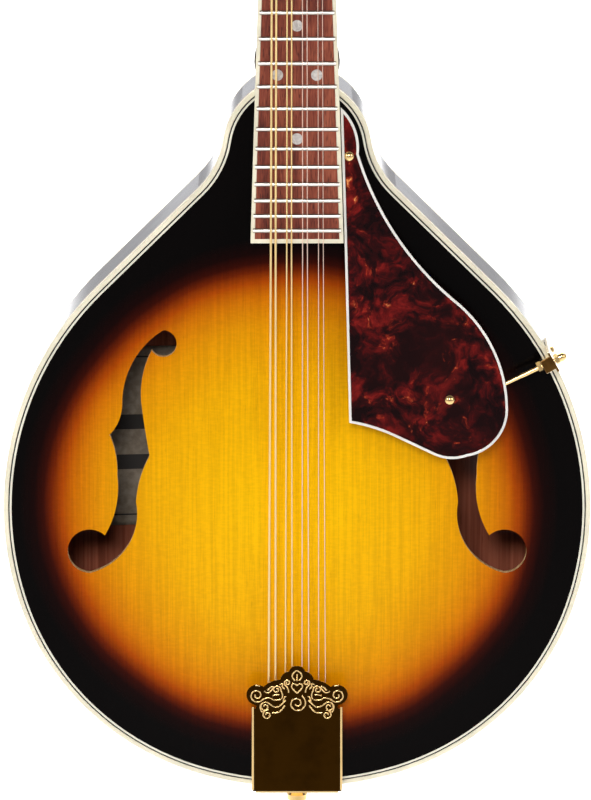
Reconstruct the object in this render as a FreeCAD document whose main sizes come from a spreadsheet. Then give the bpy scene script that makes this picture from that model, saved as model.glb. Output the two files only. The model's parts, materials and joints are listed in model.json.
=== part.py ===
import FreeCAD, Part
import math
import os
import re

import Sketcher
from FreeCAD import Placement, Rotation, Vector

# An A-style arch-top mandolin, in millimetres.
# X points to the treble side, Y from the front to the back and Z up the neck.
# The origin is the outer end of the end pin, on its axis, halfway through the depth of the rim.

doc = FreeCAD.newDocument("mandolin")
sheet = doc.addObject("Spreadsheet::Sheet", "sizes")

DRIVING_SIZES = [
    # body outline, from the tail round one side to the neck, as tangent arcs of the outer edge
    ("pin_length", 11.9, "how far the end pin stands out of the tail"),
    ("tail_radius", 161.0, "flat curve across the tail"),
    ("tail_sweep", 14.4, "half turn of the tail curve, degrees"),
    ("lower_radius", 123.0, "lower bout"),
    ("lower_sweep", 56.9, "turn of the lower bout, degrees"),
    ("upper_radius", 145.0, "upper bout"),
    ("upper_sweep", 64.1, "turn of the upper bout, degrees"),
    ("flank_length", 64.4, "straight flank towards the neck"),
    ("waist_radius", 39.5, "hollow curve below the shoulder"),
    ("waist_sweep", 36.8, "turn back of the hollow curve, degrees"),
    # body depth
    ("rim_depth", 37.0, "depth of the bent sides between the plates"),
    ("rim_wall", 2.3, "thickness of the bent sides"),
    ("plate_edge", 4.0, "thickness of both plates at their edge"),
    ("plate_wall", 3.4, "thickness of both plates in the middle"),
    ("top_arch", 7.0, "rise of the top above its edge"),
    ("back_arch", 9.0, "rise of the back above its edge"),
    ("arch_margin", 6.5, "flat border round both plates"),
    ("glue_margin", 9.0, "width of the glued border inside both plates"),
    ("binding_width", 2.3, "cream binding seen from the front"),
    ("black_line", 0.5, "black purfling line"),
    ("white_line", 0.9, "white purfling line"),
    ("line_depth", 1.2, "depth of the purfling lines"),
    ("lining_width", 5.0, "glue linings, across"),
    ("lining_height", 6.5, "glue linings, along the rim's depth"),
    ("neck_block_width", 60.0, "neck block"),
    ("neck_block_length", 34.0, "neck block, along the body"),
    ("tail_block_width", 52.0, "tail block"),
    ("tail_block_length", 18.0, "tail block, along the body"),
    ("bar_width", 6.0, "tone bars"),
    ("bar_height", 9.0, "tone bars"),
    ("bar_spread", 27.0, "tone bars from the centre line, at the bridge line"),
    # sound holes
    ("hole_out", 76.0, "middle of each sound hole from the centre line"),
    ("hole_up", 30.7, "middle of each sound hole above the widest part of the body"),
    ("upper_eye", 6.1, "radius of the upper eye"),
    ("lower_eye", 10.2, "radius of the lower eye"),
    # neck and fingerboard
    ("scale_length", 349.25, "nut to bridge line, along the strings"),
    ("joint_setback", 3.4, "twelfth fret below the end of the body"),
    ("neck_angle", 4.0, "neck leaning back, degrees"),
    ("board_rise", 6.0, "board surface at the twelfth fret above the edge of the top"),
    ("board_thickness", 5.5, "fingerboard"),
    ("board_end", 5.76, "fingerboard past its last fret"),
    ("nut_width", 26.7, "fingerboard at the nut"),
    ("end_width", 41.8, "fingerboard at its lower end"),
    ("board_binding", 1.9, "binding round the fingerboard"),
    ("fret_width", 2.0, "fret crown"),
    ("fret_height", 1.0, "fret crown"),
    ("fret_tang", 0.6, "thickness of the fret's tang"),
    ("tang_depth", 1.8, "depth of the fret's slot"),
    ("fret_overlap", 0.8, "how far frets reach over the binding"),
    ("marker_radius", 2.55, "position dots"),
    ("marker_depth", 1.2, "thickness of the position dots"),
    ("double_marker", 8.8, "pair of dots at the twelfth fret, from the centre line"),
    ("nut_thickness", 4.5, "nut, along the neck"),
    ("nut_rise", 2.0, "nut above the fingerboard"),
    ("shaft_depth", 13.0, "neck wood under the board at the nut"),
    ("heel_depth", 17.0, "neck wood under the board at the body"),
    ("heel_reach", 34.0, "foot of the heel up the neck from the body"),
    ("cap_reach", 13.0, "rear end of the heel out from the body"),
    ("tenon_width", 22.0, "neck tenon"),
    ("tenon_length", 18.0, "neck tenon into the body"),
    ("rod_radius", 2.4, "truss rod"),
    # headstock
    ("head_angle", 14.0, "headstock leaning back from the fingerboard, degrees"),
    ("head_length", 132.0, "headstock"),
    ("head_width", 66.0, "headstock at its widest"),
    ("head_thickness", 13.0, "headstock wood"),
    ("overlay", 2.0, "headstock face veneer"),
    # tuning machines
    ("post_out", 19.0, "string posts from the centre line"),
    ("post_first", 27.0, "first string post from the nut"),
    ("post_pitch", 23.0, "between string posts"),
    ("post_radius", 3.0, "string post"),
    ("post_height", 13.0, "string post in front of the headstock face"),
    ("post_play", 0.06, "clearance round turning shafts"),
    ("bushing_radius", 4.6, "bushing round the post"),
    ("machine_plate", 1.2, "thickness of the tuner plates"),
    ("machine_width", 13.0, "width of the tuner plates"),
    ("worm_pitch", 2.2, "worm thread"),
    ("gear_teeth", 14.0, "teeth on each post's gear"),
    ("worm_radius", 2.4, "pitch radius of the worm"),
    ("gear_width", 2.4, "thickness of the gear"),
    ("shaft_radius", 1.5, "worm shaft"),
    ("button_length", 14.0, "tuner button"),
    ("button_width", 11.0, "tuner button"),
    # strings
    ("nut_spacing", 6.5, "between string pairs at the nut"),
    ("fret_spacing", 7.1, "between string pairs at the last fret"),
    ("tail_spacing", 7.7, "between string pairs at the tailpiece"),
    ("nut_pair", 2.0, "between the two strings of a pair at the nut"),
    ("fret_pair", 2.1, "between the two strings of a pair at the last fret"),
    ("tail_pair", 3.3, "between the two strings of a pair at the tailpiece"),
    ("string_gap", 0.04, "strings above the last fret"),
    # tailpiece
    ("cover_width", 40.8, "tailpiece cover"),
    ("cover_length", 40.0, "straight sides of the tailpiece cover"),
    ("cover_bottom", 1.4, "lower end of the cover above the tail of the body"),
    ("cover_rise", 11.0, "front of the cover in front of the edge of the top"),
    ("cover_wall", 0.9, "sheet of the tailpiece cover"),
    ("base_wall", 1.2, "sheet of the tailpiece base"),
    ("base_rise", 3.6, "underside of the base in front of the edge of the top"),
    ("base_play", 0.5, "base inside the cover's sides"),
    ("hook_radius", 0.9, "string hooks"),
    ("pin_head", 4.7, "radius of the end pin's head"),
    # pickguard
    ("guard_thickness", 1.6, "pickguard"),
    ("guard_edge", 1.2, "white edge of the pickguard"),
    ("guard_drop", 1.6, "pickguard surface behind the fingerboard surface"),
    ("guard_gap", 0.4, "pickguard beside the fingerboard"),
    ("bracket_turn", 29.5, "where on the upper bout the bracket stands, degrees above level"),
    ("bracket_width", 10.0, "bracket on the side"),
    ("bracket_wall", 1.2, "sheet of the bracket"),
    ("bracket_rod", 1.1, "radius of the bracket's rod"),
    ("screw_head", 2.1, "radius of the small screw heads"),
]

for row, (alias, value, meaning) in enumerate(DRIVING_SIZES, start=1):
    sheet.set(f"A{row}", meaning)
    sheet.set(f"B{row}", str(value))
    sheet.setAlias(f"B{row}", alias)
doc.recompute()


def size(alias):
    """The value in the sheet's cell of that name."""
    return float(sheet.get(alias))


subparts = []


def keep(item, label):
    """Name a document object and list it as a sub-part."""
    item.Label = label
    subparts.append(item)
    return item


def shaped(label, shape, place=None):
    """A sub-part whose shape is made by Part's own functions, placed as given."""
    item = doc.addObject("Part::Feature", label)
    item.Shape = shape
    item.Placement = (place or Placement()).multiply(shape.Placement)
    return keep(item, label)


ALIAS_WORDS = re.compile(r"\b(" + "|".join(alias for alias, value, meaning in DRIVING_SIZES) + r")\b")


def bind(item, **formulas):
    """Tie an object's properties to the sheet, as in bind(box, Length="bar_width * 2")."""
    for name, formula in formulas.items():
        item.setExpression(name, ALIAS_WORDS.sub(r"sizes.\1", formula))
    return item


# ---------------------------------------------------------------- body outline

def outline_chain(inset):
    """Right half of the body's outline, from the tail to the neck, as (first, middle, last) points."""
    here = Vector(0, 0, size("pin_length") + inset)
    heading = 0.0
    chain = []

    def turn(radius, degrees, side):
        nonlocal here, heading
        sweep = math.radians(degrees) * side
        centre = here + Vector(-math.sin(heading), 0, math.cos(heading)) * radius * side

        def at(angle):
            return centre + Vector(math.sin(angle), 0, -math.cos(angle)) * radius * side

        chain.append((here, at(heading + sweep / 2), at(heading + sweep)))
        here = at(heading + sweep)
        heading += sweep

    turn(size("tail_radius") - inset, size("tail_sweep"), 1)
    turn(size("lower_radius") - inset, size("lower_sweep"), 1)
    turn(size("upper_radius") - inset, size("upper_sweep"), 1)
    step = Vector(math.cos(heading), 0, math.sin(heading)) * size("flank_length")
    chain.append((here, None, here + step))
    here = here + step
    turn(size("waist_radius") + inset, size("waist_sweep"), -1)
    # the shoulder's radius is the one that meets the centre line squarely
    turn(here.x / math.sin(heading), 180.0 - math.degrees(heading), 1)
    return chain


def mirrored(point):
    return Vector(-point.x, point.y, point.z)


def edge_through(first, middle, last):
    if middle is None:
        return Part.LineSegment(first, last).toShape()
    return Part.Arc(first, middle, last).toShape()


def outline_face(inset):
    """The body's outline as a face in the plane Y = 0, drawn in from the edge by inset."""
    chain = outline_chain(inset)
    edges = [edge_through(*piece) for piece in chain]
    for first, middle, last in reversed(chain):
        other = None if middle is None else mirrored(middle)
        edges.append(edge_through(mirrored(last), other, mirrored(first)))
    return Part.Face(Part.Wire(edges))


def prism(face, front, back):
    """A face in the plane Y = 0 carried from Y = front to Y = back."""
    moved = face.copy()
    moved.translate(Vector(0, front, 0))
    return moved.extrude(Vector(0, back - front, 0))


def ring(outer, inner, front, back):
    """The band between two insets of the body's outline."""
    return prism(outline_face(outer), front, back).cut(prism(outline_face(inner), front - 1, back + 1))


def block(low, high):
    """A box between two corners."""
    low, high = Vector(*low), Vector(*high)
    extent = high - low
    return Part.makeBox(extent.x, extent.y, extent.z, low)


glue_front = -size("rim_depth") / 2
glue_back = size("rim_depth") / 2
edge_front = glue_front - size("plate_edge")
edge_back = glue_back + size("plate_edge")
chain = outline_chain(0)
body_end = chain[-1][2].z
widest = chain[1][2].z - (size("upper_radius")) * math.sin(
    math.radians(size("tail_sweep") + size("lower_sweep") - 90))
body_half_width = outline_face(0).BoundBox.XMax


def polar_edge(centre_z, inset):
    """The outline's distance from a point on the centre line, as a function of direction."""
    samples = []
    for first, middle, last in outline_chain(inset):
        edge = edge_through(first, middle, last)
        for point in edge.discretize(40):
            samples.append((math.atan2(point.z - centre_z, point.x), math.hypot(point.x, point.z - centre_z)))
    samples.sort()

    def reach(angle):
        for (a0, r0), (a1, r1) in zip(samples, samples[1:]):
            if a0 <= angle <= a1 and a1 > a0:
                return r0 + (r1 - r0) * (angle - a0) / (a1 - a0)
        return samples[0][1] if angle < samples[0][0] else samples[-1][1]

    return reach


edge_reach = polar_edge(widest, size("arch_margin"))


def arch(x, z, rise):
    """Height of an arched plate over its flat border: a cosine hill from the middle to the border."""
    distance = math.hypot(x, z - widest)
    share = distance / edge_reach(math.atan2(z - widest, abs(x)))
    return 0.0 if share >= 1 else rise * (1 + math.cos(math.pi * share)) / 2


def arch_slab(border, rise, depth, side):
    """Everything behind an arched surface, depth deep. side is -1 for the top, +1 for the back."""
    reach_x = body_half_width + 12
    low_z, high_z = size("pin_length") - 12, body_end + 12
    columns, rows = 49, 57
    grid = []
    for i in range(columns):
        x = -reach_x + 2 * reach_x * i / (columns - 1)
        line = []
        for j in range(rows):
            z = low_z + (high_z - low_z) * j / (rows - 1)
            line.append(Vector(x, border + side * arch(x, z, rise), z))
        grid.append(line)
    surface = Part.BSplineSurface()
    surface.interpolate(grid)
    return surface.toShape().extrude(Vector(0, -side * depth, 0))


def arched_plate(glue, edge, rise, side):
    """A carved plate: flat glued border, arched outside and hollowed to one thickness inside."""
    deep = abs(edge - glue) + rise + 3
    low, high = sorted((glue, edge + side * (rise + 3)))
    plate = prism(outline_face(size("binding_width")), low, high)
    plate = plate.common(arch_slab(edge, rise, deep + 10, side))
    inside = prism(outline_face(size("glue_margin")), low - 5, high + 5)
    hollow = arch_slab(edge - side * size("plate_wall"), rise, deep + 10, side)
    return plate.cut(inside.common(hollow))


# ---------------------------------------------------------------- sound holes

def sound_hole_face():
    """The treble-side sound hole: two round eyes joined by a curved stem with a notch at each side.
    Points are taken from the middle of the stem, outwards and upwards."""
    upper, lower = size("upper_eye"), size("lower_eye")
    top_eye = Vector(-15.5, 0, 47.0)
    low_eye = Vector(18.3, 0, -49.7)

    def on(centre, radius, degrees):
        return centre + Vector(math.cos(math.radians(degrees)), 0, math.sin(math.radians(degrees))) * radius

    crown = on(top_eye, upper, 90)
    top_cusp = on(top_eye, upper, 328)
    foot = on(low_eye, lower, 270)
    low_cusp = on(low_eye, lower, 132)
    outer_notch = Vector(9.0, 0, 4.8)
    inner_notch = Vector(-9.1, 0, -4.8)
    outer_shoulder = Vector(3.2, 0, 18.5)
    inner_shoulder = Vector(-5.4, 0, 20.0)
    outer_waist = Vector(5.6, 0, -14.0)
    inner_waist = Vector(-2.8, 0, -26.0)
    edges = [
        Part.Arc(crown, Vector(-2.9, 0, 40.4), outer_shoulder).toShape(),
        Part.Arc(outer_shoulder, Vector(5.2, 0, 10.2), outer_notch).toShape(),
        Part.Arc(outer_notch, Vector(6.3, 0, -4.0), outer_waist).toShape(),
        Part.Arc(outer_waist, Vector(6.4, 0, -29.5), low_cusp).toShape(),
        Part.Arc(low_cusp, on(low_eye, lower, 21), foot).toShape(),
        Part.Arc(foot, Vector(3.6, 0, -50.5), inner_waist).toShape(),
        Part.Arc(inner_waist, Vector(-5.4, 0, -13.2), inner_notch).toShape(),
        Part.Arc(inner_notch, Vector(-7.2, 0, 6.8), inner_shoulder).toShape(),
        Part.Arc(inner_shoulder, Vector(-6.1, 0, 32.0), top_cusp).toShape(),
        Part.Arc(top_cusp, on(top_eye, upper, 204), crown).toShape(),
    ]
    face = Part.Face(Part.Wire(edges))
    face.translate(Vector(size("hole_out"), 0, widest + size("hole_up")))
    return face


def both_sides(shape):
    """A shape and its mirror image across the centre plane."""
    return [shape, shape.mirror(Vector(0, 0, 0), Vector(1, 0, 0))]


def sound_hole_cutters():
    return [prism(face, edge_front - size("top_arch") - 3, glue_front + 3) for face in both_sides(sound_hole_face())]


# ---------------------------------------------------------------- places along the neck

neck_lean = math.radians(size("neck_angle"))
fret12 = Vector(0, edge_front - size("board_rise"), body_end - size("joint_setback"))
up_neck = Vector(0, math.sin(neck_lean), math.cos(neck_lean))
nut_line = fret12 + up_neck * (size("scale_length") / 2)

# neck frame: origin on the board's surface at the nut line, Z up the neck, Y into the wood
neck_frame = Placement(nut_line, Rotation(Vector(1, 0, 0), -size("neck_angle")))
bridge_z = (fret12 - up_neck * (size("scale_length") / 2)).z

# headstock frame: origin on the headstock's wood just past the nut, Z to its tip, Y to its rear
head_frame = neck_frame.multiply(Placement(
    Vector(0, size("board_thickness"), size("nut_thickness")),
    Rotation(Vector(1, 0, 0), -size("head_angle"))))


def placed(shape, frame):
    """A copy of a shape drawn in a frame, carried to where it is."""
    moved = shape.copy()
    moved.Placement = frame.multiply(moved.Placement)
    return moved


def fret_place(number):
    """Height of a fret in the neck frame."""
    return -size("scale_length") * (1 - 2 ** (-number / 12))


FRET_COUNT = 20
SINGLE_MARKERS = (3, 5, 7, 10, 15)


def board_low():
    """Lower end of the fingerboard in the neck frame."""
    return fret_place(FRET_COUNT) - size("board_end")


def board_half(z):
    """Half width of the fingerboard at a height in the neck frame."""
    share = z / board_low()
    return (size("nut_width") + (size("end_width") - size("nut_width")) * share) / 2


def trapezoid(z_low, z_high, inset, front, back):
    """A slab of the fingerboard's outline between two heights, in the neck frame."""
    corners = [
        Vector(board_half(z_low) - inset, front, z_low), Vector(board_half(z_high) - inset, front, z_high),
        Vector(inset - board_half(z_high), front, z_high), Vector(inset - board_half(z_low), front, z_low)]
    return Part.Face(Part.makePolygon(corners + corners[:1])).extrude(Vector(0, back - front, 0))


def rod(start, end, radius):
    """A round bar between two points."""
    run = end - start
    return Part.makeCylinder(radius, run.Length, start, run)


def joined(shapes):
    first, *others = shapes
    return first.fuse(others).removeSplitter() if others else first


# ---------------------------------------------------------------- body

TAIL_SCREW_LENGTH = 13.0
TAIL_SHANK = 1.2
FOOT_SHANK = 1.0
pin_shank = 2.9


def tail_screw_spots():
    """The tailpiece's screws, on the outside of its tail flange."""
    level = size("pin_length") - size("base_wall")
    return [Vector(x, glue_front + behind, level) for x, behind in ((-12, 6.5), (0, 3.5), (12, 6.5))]


def bracket_outward():
    turn = math.radians(size("bracket_turn"))
    return Vector(math.cos(turn), 0, math.sin(turn))


def bracket_edge():
    """Where the bracket meets the rim, on the upper bout."""
    centre = Vector(body_half_width - size("upper_radius"), 0, widest)
    return centre + bracket_outward() * size("upper_radius")


def bracket_foot_screw():
    return bracket_edge() + bracket_outward() * size("bracket_wall") + Vector(0, glue_front + 10, 0)


def make_body():
    plate = arched_plate(glue_front, edge_front, size("top_arch"), -1)
    binding, black, white = size("binding_width"), size("black_line"), size("white_line")
    line_back = edge_front + size("line_depth")
    lines = ring(binding, binding + black + white, edge_front - 3, line_back)
    plate = plate.cut([lines] + sound_hole_cutters())
    shaped("top_plate", plate)
    shaped("back_plate", arched_plate(glue_back, edge_back, size("back_arch"), 1))

    shaped("top_purfling_black", ring(binding, binding + black, edge_front, line_back))
    shaped("top_purfling_white", ring(binding + black, binding + black + white, edge_front, line_back))
    shaped("top_binding", ring(0, binding, edge_front, glue_front))
    shaped("back_binding", ring(0, binding, glue_back, edge_back))

    mortise = tenon_block(14)
    wall = size("rim_wall")
    end_hole = rod(Vector(0, 0, -5), Vector(0, 0, size("pin_length") + size("tail_block_length") + 5), pin_shank)
    tail_holes = [rod(spot, spot + Vector(0, 0, TAIL_SCREW_LENGTH), TAIL_SHANK) for spot in tail_screw_spots()]
    side_hole = rod(bracket_foot_screw(), bracket_foot_screw() - bracket_outward() * 6, FOOT_SHANK)
    shaped("rim", ring(0, wall, glue_front, glue_back).cut([mortise, end_hole, side_hole] + tail_holes))

    room = prism(outline_face(wall), glue_front, glue_back)
    half_neck = size("neck_block_width") / 2
    half_tail = size("tail_block_width") / 2
    deep = size("rim_depth")
    neck_box = block((-half_neck, -deep, body_end - size("neck_block_length")), (half_neck, deep, body_end + 9))
    tail_box = block((-half_tail, -deep, 0), (half_tail, deep, size("pin_length") + size("tail_block_length")))
    shaped("neck_block", room.common(neck_box).cut(mortise))
    shaped("tail_block", room.common(tail_box).cut([end_hole] + tail_holes))

    inner = wall + size("lining_width")
    high = size("lining_height")
    linings = [
        ring(wall, inner, glue_front, glue_front + high).cut([neck_box, tail_box]),
        ring(wall, inner, glue_back - high, glue_back).cut([neck_box, tail_box])]
    shaped("linings", Part.makeCompound([solid for lining in linings for solid in lining.Solids]))

    under_top = arch_slab(edge_front + size("plate_wall"), size("top_arch"), 60, -1)
    low_z = size("pin_length") + size("tail_block_length") + 22
    high_z = body_end - size("neck_block_length") - 22
    half_bar = size("bar_width") / 2
    bar_back = glue_front - size("top_arch") + size("bar_height") + 1
    bars = []
    for side in (-1, 1):
        middle = side * size("bar_spread")
        bar = block((middle - half_bar, edge_front - 20, low_z), (middle + half_bar, bar_back, high_z))
        bars.append(bar.common(under_top))
    shaped("tone_bars", Part.makeCompound([solid for bar in bars for solid in bar.Solids]))


def tenon_block(past_end):
    """The neck's tenon, and the hole that it fills, reaching a little past the end of the body."""
    half = size("tenon_width") / 2
    return block((-half, glue_front, body_end - size("tenon_length")), (half, glue_back - 6, body_end + past_end))


# ---------------------------------------------------------------- neck and fingerboard

HEEL_LEVELS = 5


def neck_section(half, front, depth, z):
    """A D-shaped section of the neck in a plane across it, in the neck frame."""
    left, right = Vector(-half, front, z), Vector(half, front, z)
    low_left, low_right = Vector(-half, front + 2.0, z), Vector(half, front + 2.0, z)
    back = Vector(0, front + depth, z)
    curve = Part.BSplineCurve()
    curve.interpolate(
        Points=[low_right, Vector(half * 0.74, front + depth * 0.72, z), back,
                Vector(-half * 0.74, front + depth * 0.72, z), low_left])
    edges = [
        Part.LineSegment(left, right).toShape(), Part.LineSegment(right, low_right).toShape(),
        curve.toShape(), Part.LineSegment(low_left, left).toShape()]
    return Part.Wire(edges)


def heel_section(half, y, reach):
    """A U-shaped section of the heel in a level plane Y = y, reaching up the neck from the body."""
    low = body_end - 12
    tip = Vector(0, y, body_end + reach)
    curve = Part.BSplineCurve()
    curve.interpolate(
        Points=[Vector(half, y, body_end), Vector(half * 0.72, y, body_end + reach * 0.72), tip,
                Vector(-half * 0.72, y, body_end + reach * 0.72), Vector(-half, y, body_end)])
    corner_right, corner_left = Vector(half, y, low), Vector(-half, y, low)
    edges = [
        Part.LineSegment(corner_right, Vector(half, y, body_end)).toShape(), curve.toShape(),
        Part.LineSegment(Vector(-half, y, body_end), corner_left).toShape(),
        Part.LineSegment(corner_left, corner_right).toShape()]
    return Part.Wire(edges)


def head_outline(inset):
    """The headstock's face in its own frame: flared from the nut, widest near a gently crowned tip."""
    half = size("head_width") / 2 - inset
    long = size("head_length") - inset
    root = size("nut_width") / 2 - 0.2
    points = [
        (Vector(root, 0, -8), None, Vector(root, 0, 1)),
        (Vector(root, 0, 1), Vector(half * 0.62, 0, 5), Vector(half * 0.86, 0, 17)),
        (Vector(half * 0.86, 0, 17), None, Vector(half, 0, long - 20)),
        (Vector(half, 0, long - 20), Vector(half * 0.86, 0, long - 7), Vector(half * 0.42, 0, long - 4)),
        (Vector(half * 0.42, 0, long - 4), Vector(half * 0.22, 0, long - 1.2), Vector(0, 0, long))]
    edges = [edge_through(*piece) for piece in points]
    for first, middle, last in reversed(points):
        other = None if middle is None else mirrored(middle)
        edges.append(edge_through(mirrored(last), other, mirrored(first)))
    edges.append(edge_through(mirrored(points[0][0]), None, points[0][0]))
    return Part.Face(Part.Wire(edges))


def make_neck():
    board = size("board_thickness")
    body_z = -(nut_line.z - body_end) / math.cos(neck_lean)
    shaft = Part.makeLoft([
        neck_section(size("nut_width") / 2, board, size("shaft_depth"), size("nut_thickness") - 0.6),
        neck_section(board_half(body_z), board, size("heel_depth"), body_z)], True, True)
    shaft = placed(shaft, neck_frame)
    half = board_half(body_z)
    heel_top = neck_frame.multVec(Vector(0, board + 5, body_z)).y
    shaft_back = neck_frame.multVec(Vector(0, board + size("heel_depth"), body_z)).y - 2
    cap = edge_back - 0.2
    sections = [heel_section(half - 1.0, heel_top, size("heel_reach"))]
    for step in range(HEEL_LEVELS + 1):
        share = step / HEEL_LEVELS
        level = shaft_back + (cap - shaft_back) * share
        reach = size("cap_reach") + (size("heel_reach") - size("cap_reach")) * (1 - share) ** 1.8
        sections.append(heel_section(half - 1.0 - 6.5 * (level - heel_top) / (cap - heel_top), level, reach))
    heel = Part.makeLoft(sections, True)
    slope_cut = placed(block((-60, -60, -400), (60, board, 400)), neck_frame)
    wood = joined([shaft, heel]).cut(slope_cut)
    wood = wood.cut(prism(outline_face(0), -60, 60))

    thick = size("head_thickness")
    head = placed(head_outline(0).extrude(Vector(0, thick, 0)), head_frame)
    front_cut = placed(block((-60, -60, -400), (60, board, size("nut_thickness"))), neck_frame)
    face_cut = placed(block((-60, -60, 0), (60, 0, 60)), head_frame)
    wood = joined([wood, head.cut([front_cut, face_cut]), tenon_block(0.5).cut(slope_cut)])

    rod_y = board + size("rod_radius") + 0.6
    rod_bar = rod(Vector(0, rod_y, body_z + 8), Vector(0, rod_y, size("nut_thickness") + 2), size("rod_radius"))
    pocket = placed(block((-4.2, -9, -8), (4.2, 7.5, 19)), head_frame)
    holes = [placed(hole, head_frame) for hole in post_holes() + head_screw_holes()]
    shaped("neck", joined([wood, make_riser(body_z)]).cut([placed(rod_bar, neck_frame), pocket] + holes))
    shaped("truss_rod", rod_bar, neck_frame)


def make_riser(body_z):
    """The neck's tongue: a wedge that carries the fingerboard over the top plate."""
    board = size("board_thickness")
    riser_low = board_low() + 3
    riser_half = size("end_width") / 2 - 4
    riser = placed(block((-riser_half, board, riser_low), (riser_half, board + 14, body_z + 0.3)), neck_frame)
    behind = arch_slab(edge_front, size("top_arch"), 60, -1)
    wedge = riser.cut(block((-60, edge_front, 0), (60, 60, body_end + 60))).cut(behind)
    return max(wedge.Solids, key=lambda solid: solid.Volume)


def fret_shape(number):
    """One fret in the neck frame: a low round crown on a thin tang."""
    z = fret_place(number)
    crown_half = board_half(z) - size("board_binding") + size("fret_overlap")
    tang_half = tang_reach(number)
    wide, tall = size("fret_width") / 2, size("fret_height")
    profile = Part.Face(Part.Wire([
        Part.Arc(Vector(0, 0, z - wide), Vector(0, -tall, z), Vector(0, 0, z + wide)).toShape(),
        Part.LineSegment(Vector(0, 0, z + wide), Vector(0, 0, z - wide)).toShape()]))
    profile.translate(Vector(-crown_half, 0, 0))
    crown = profile.extrude(Vector(2 * crown_half, 0, 0))
    return joined([crown, fret_tang(number, tang_half)])


def tang_reach(number):
    return board_half(fret_place(number)) - size("board_binding") - 0.1


def fret_tang(number, half):
    z = fret_place(number)
    thin = size("fret_tang") / 2
    return block((-half, 0, z - thin), (half, size("tang_depth"), z + thin))


def marker_centres():
    """Position dots, halfway between their fret and the one below it."""
    def between(number):
        return (fret_place(number) + fret_place(number - 1)) / 2

    spots = [(0.0, between(number)) for number in SINGLE_MARKERS]
    spots += [(side * size("double_marker"), between(12)) for side in (-1, 1)]
    return spots


def make_fingerboard():
    low, board, edge = board_low(), size("board_thickness"), size("board_binding")
    whole = trapezoid(low, 0, 0, 0, board)
    inner = trapezoid(low + edge, 0, edge, 0, board)
    tangs = [fret_tang(number, tang_reach(number)) for number in range(1, FRET_COUNT + 1)]
    dots = [rod(Vector(x, 0, z), Vector(x, size("marker_depth"), z), size("marker_radius"))
            for x, z in marker_centres()]
    shaped("fingerboard", inner.cut(tangs + dots), neck_frame)
    shaped("fingerboard_binding", whole.cut(inner), neck_frame)
    shaped("frets", Part.makeCompound([fret_shape(number) for number in range(1, FRET_COUNT + 1)]), neck_frame)
    shaped("fret_markers", Part.makeCompound(dots), neck_frame)


def string_x(index, spacing, pair):
    """Sideways place of string 0 to 7, bass first, given the pair spacing and the gap in a pair."""
    course, second = divmod(index, 2)
    return (course - 1.5) * size(spacing) + (second - 0.5) * size(pair)


def make_nut():
    half, rise, thick = size("nut_width") / 2, size("nut_rise"), size("nut_thickness")
    bone = block((-half, -rise, 0), (half, size("board_thickness"), thick))
    slots = []
    for index in range(8):
        post, seat, fret = [neck_frame.inverse().multVec(point) for point in string_path(index)[:3]]
        for far in (post, fret):
            run = (far - seat).normalize()
            slots.append(open_slot(seat - run * 0.8, seat + run * (thick + 2), string_radius(index) + SLOT_PLAY))
    shaped("nut", bone.cut(slots), neck_frame)


def open_slot(start, end, radius):
    """A round-bottomed slot from start to end, open to the front."""
    run = end - start
    across = Rotation(Vector(1, 0, 0), Vector(0, 1, 0), run, "ZYX")
    channel = Part.makeBox(2 * radius, 4, run.Length, Vector(-radius, -4, 0))
    return joined([rod(start, end, radius), placed(channel, Placement(start, across))])


# ---------------------------------------------------------------- strings

STRING_RADII = (0.50, 0.34, 0.22, 0.17)
NUT_RELIEF = 0.35
SLOT_PLAY = 0.06
HOOK_ROWS = (9.0, 18.0)
STRING_LEVEL = 7.0
STRING_EASE = 0.8


def string_radius(index):
    return STRING_RADII[index // 2]


def slot_floor(index):
    """Bottom of the strings' slots in the nut, in front of the board."""
    return -size("fret_height") - NUT_RELIEF


def string_post(index):
    """Which side a string's post is on, and its place counted from the nut."""
    return (-1, index) if index < 4 else (1, 7 - index)


def post_z(place):
    return size("post_first") + size("post_pitch") * place


def hook_centre(index):
    """Where a string's loop sits on the tailpiece base."""
    outer = index in (0, 2, 5, 7)
    x = string_x(index, "tail_spacing", "tail_pair")
    z = size("pin_length") + HOOK_ROWS[0 if outer else 1]
    return Vector(x, edge_front - size("base_rise") - size("base_wall") - 1.3, z)


def string_path(index):
    radius = string_radius(index)
    side, place = string_post(index)
    beside = side * (size("post_out") - size("post_radius") - radius - 0.05)
    at_nut = string_x(index, "nut_spacing", "nut_pair")
    at_fret = string_x(index, "fret_spacing", "fret_pair")
    level = slot_floor(index) - radius
    last = Vector(at_fret, -size("fret_height") - size("string_gap") - radius, fret_place(FRET_COUNT))
    loop = hook_centre(index) + Vector(0, 0, loop_radius(index))
    return [
        head_frame.multVec(Vector(beside, -size("overlay") - STRING_LEVEL, post_z(place))),
        neck_frame.multVec(Vector(at_nut, level, 0)),
        neck_frame.multVec(last), loop]


def loop_radius(index):
    return size("hook_radius") + 0.3 + 0.1


def eased_path(points, ease):
    """Straight runs through points, joined by tangent arcs that start ease away from each inner point."""
    edges = []
    here = points[0]
    for before, corner, after in zip(points, points[1:], points[2:]):
        arriving, leaving = (corner - before).normalize(), (after - corner).normalize()
        half_turn = arriving.getAngle(leaving) / 2
        radius = ease / math.tan(half_turn)
        inward = (leaving - arriving).normalize()
        start, end = corner - arriving * ease, corner + leaving * ease
        middle = corner + inward * (radius / math.cos(half_turn) - radius)
        edges += [Part.LineSegment(here, start).toShape(), Part.Arc(start, middle, end).toShape()]
        here = end
    edges.append(Part.LineSegment(here, points[-1]).toShape())
    return Part.Wire(edges)


def make_string(index):
    points = string_path(index)
    radius = string_radius(index)
    section = Part.Wire(Part.Circle(points[0], points[1] - points[0], radius).toShape())
    wire = eased_path(points, STRING_EASE).makePipeShell([section], True, False)
    loop = Part.makeTorus(loop_radius(index), 0.25, hook_centre(index), Vector(0, 1, 0))
    return joined([wire, loop])


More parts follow.
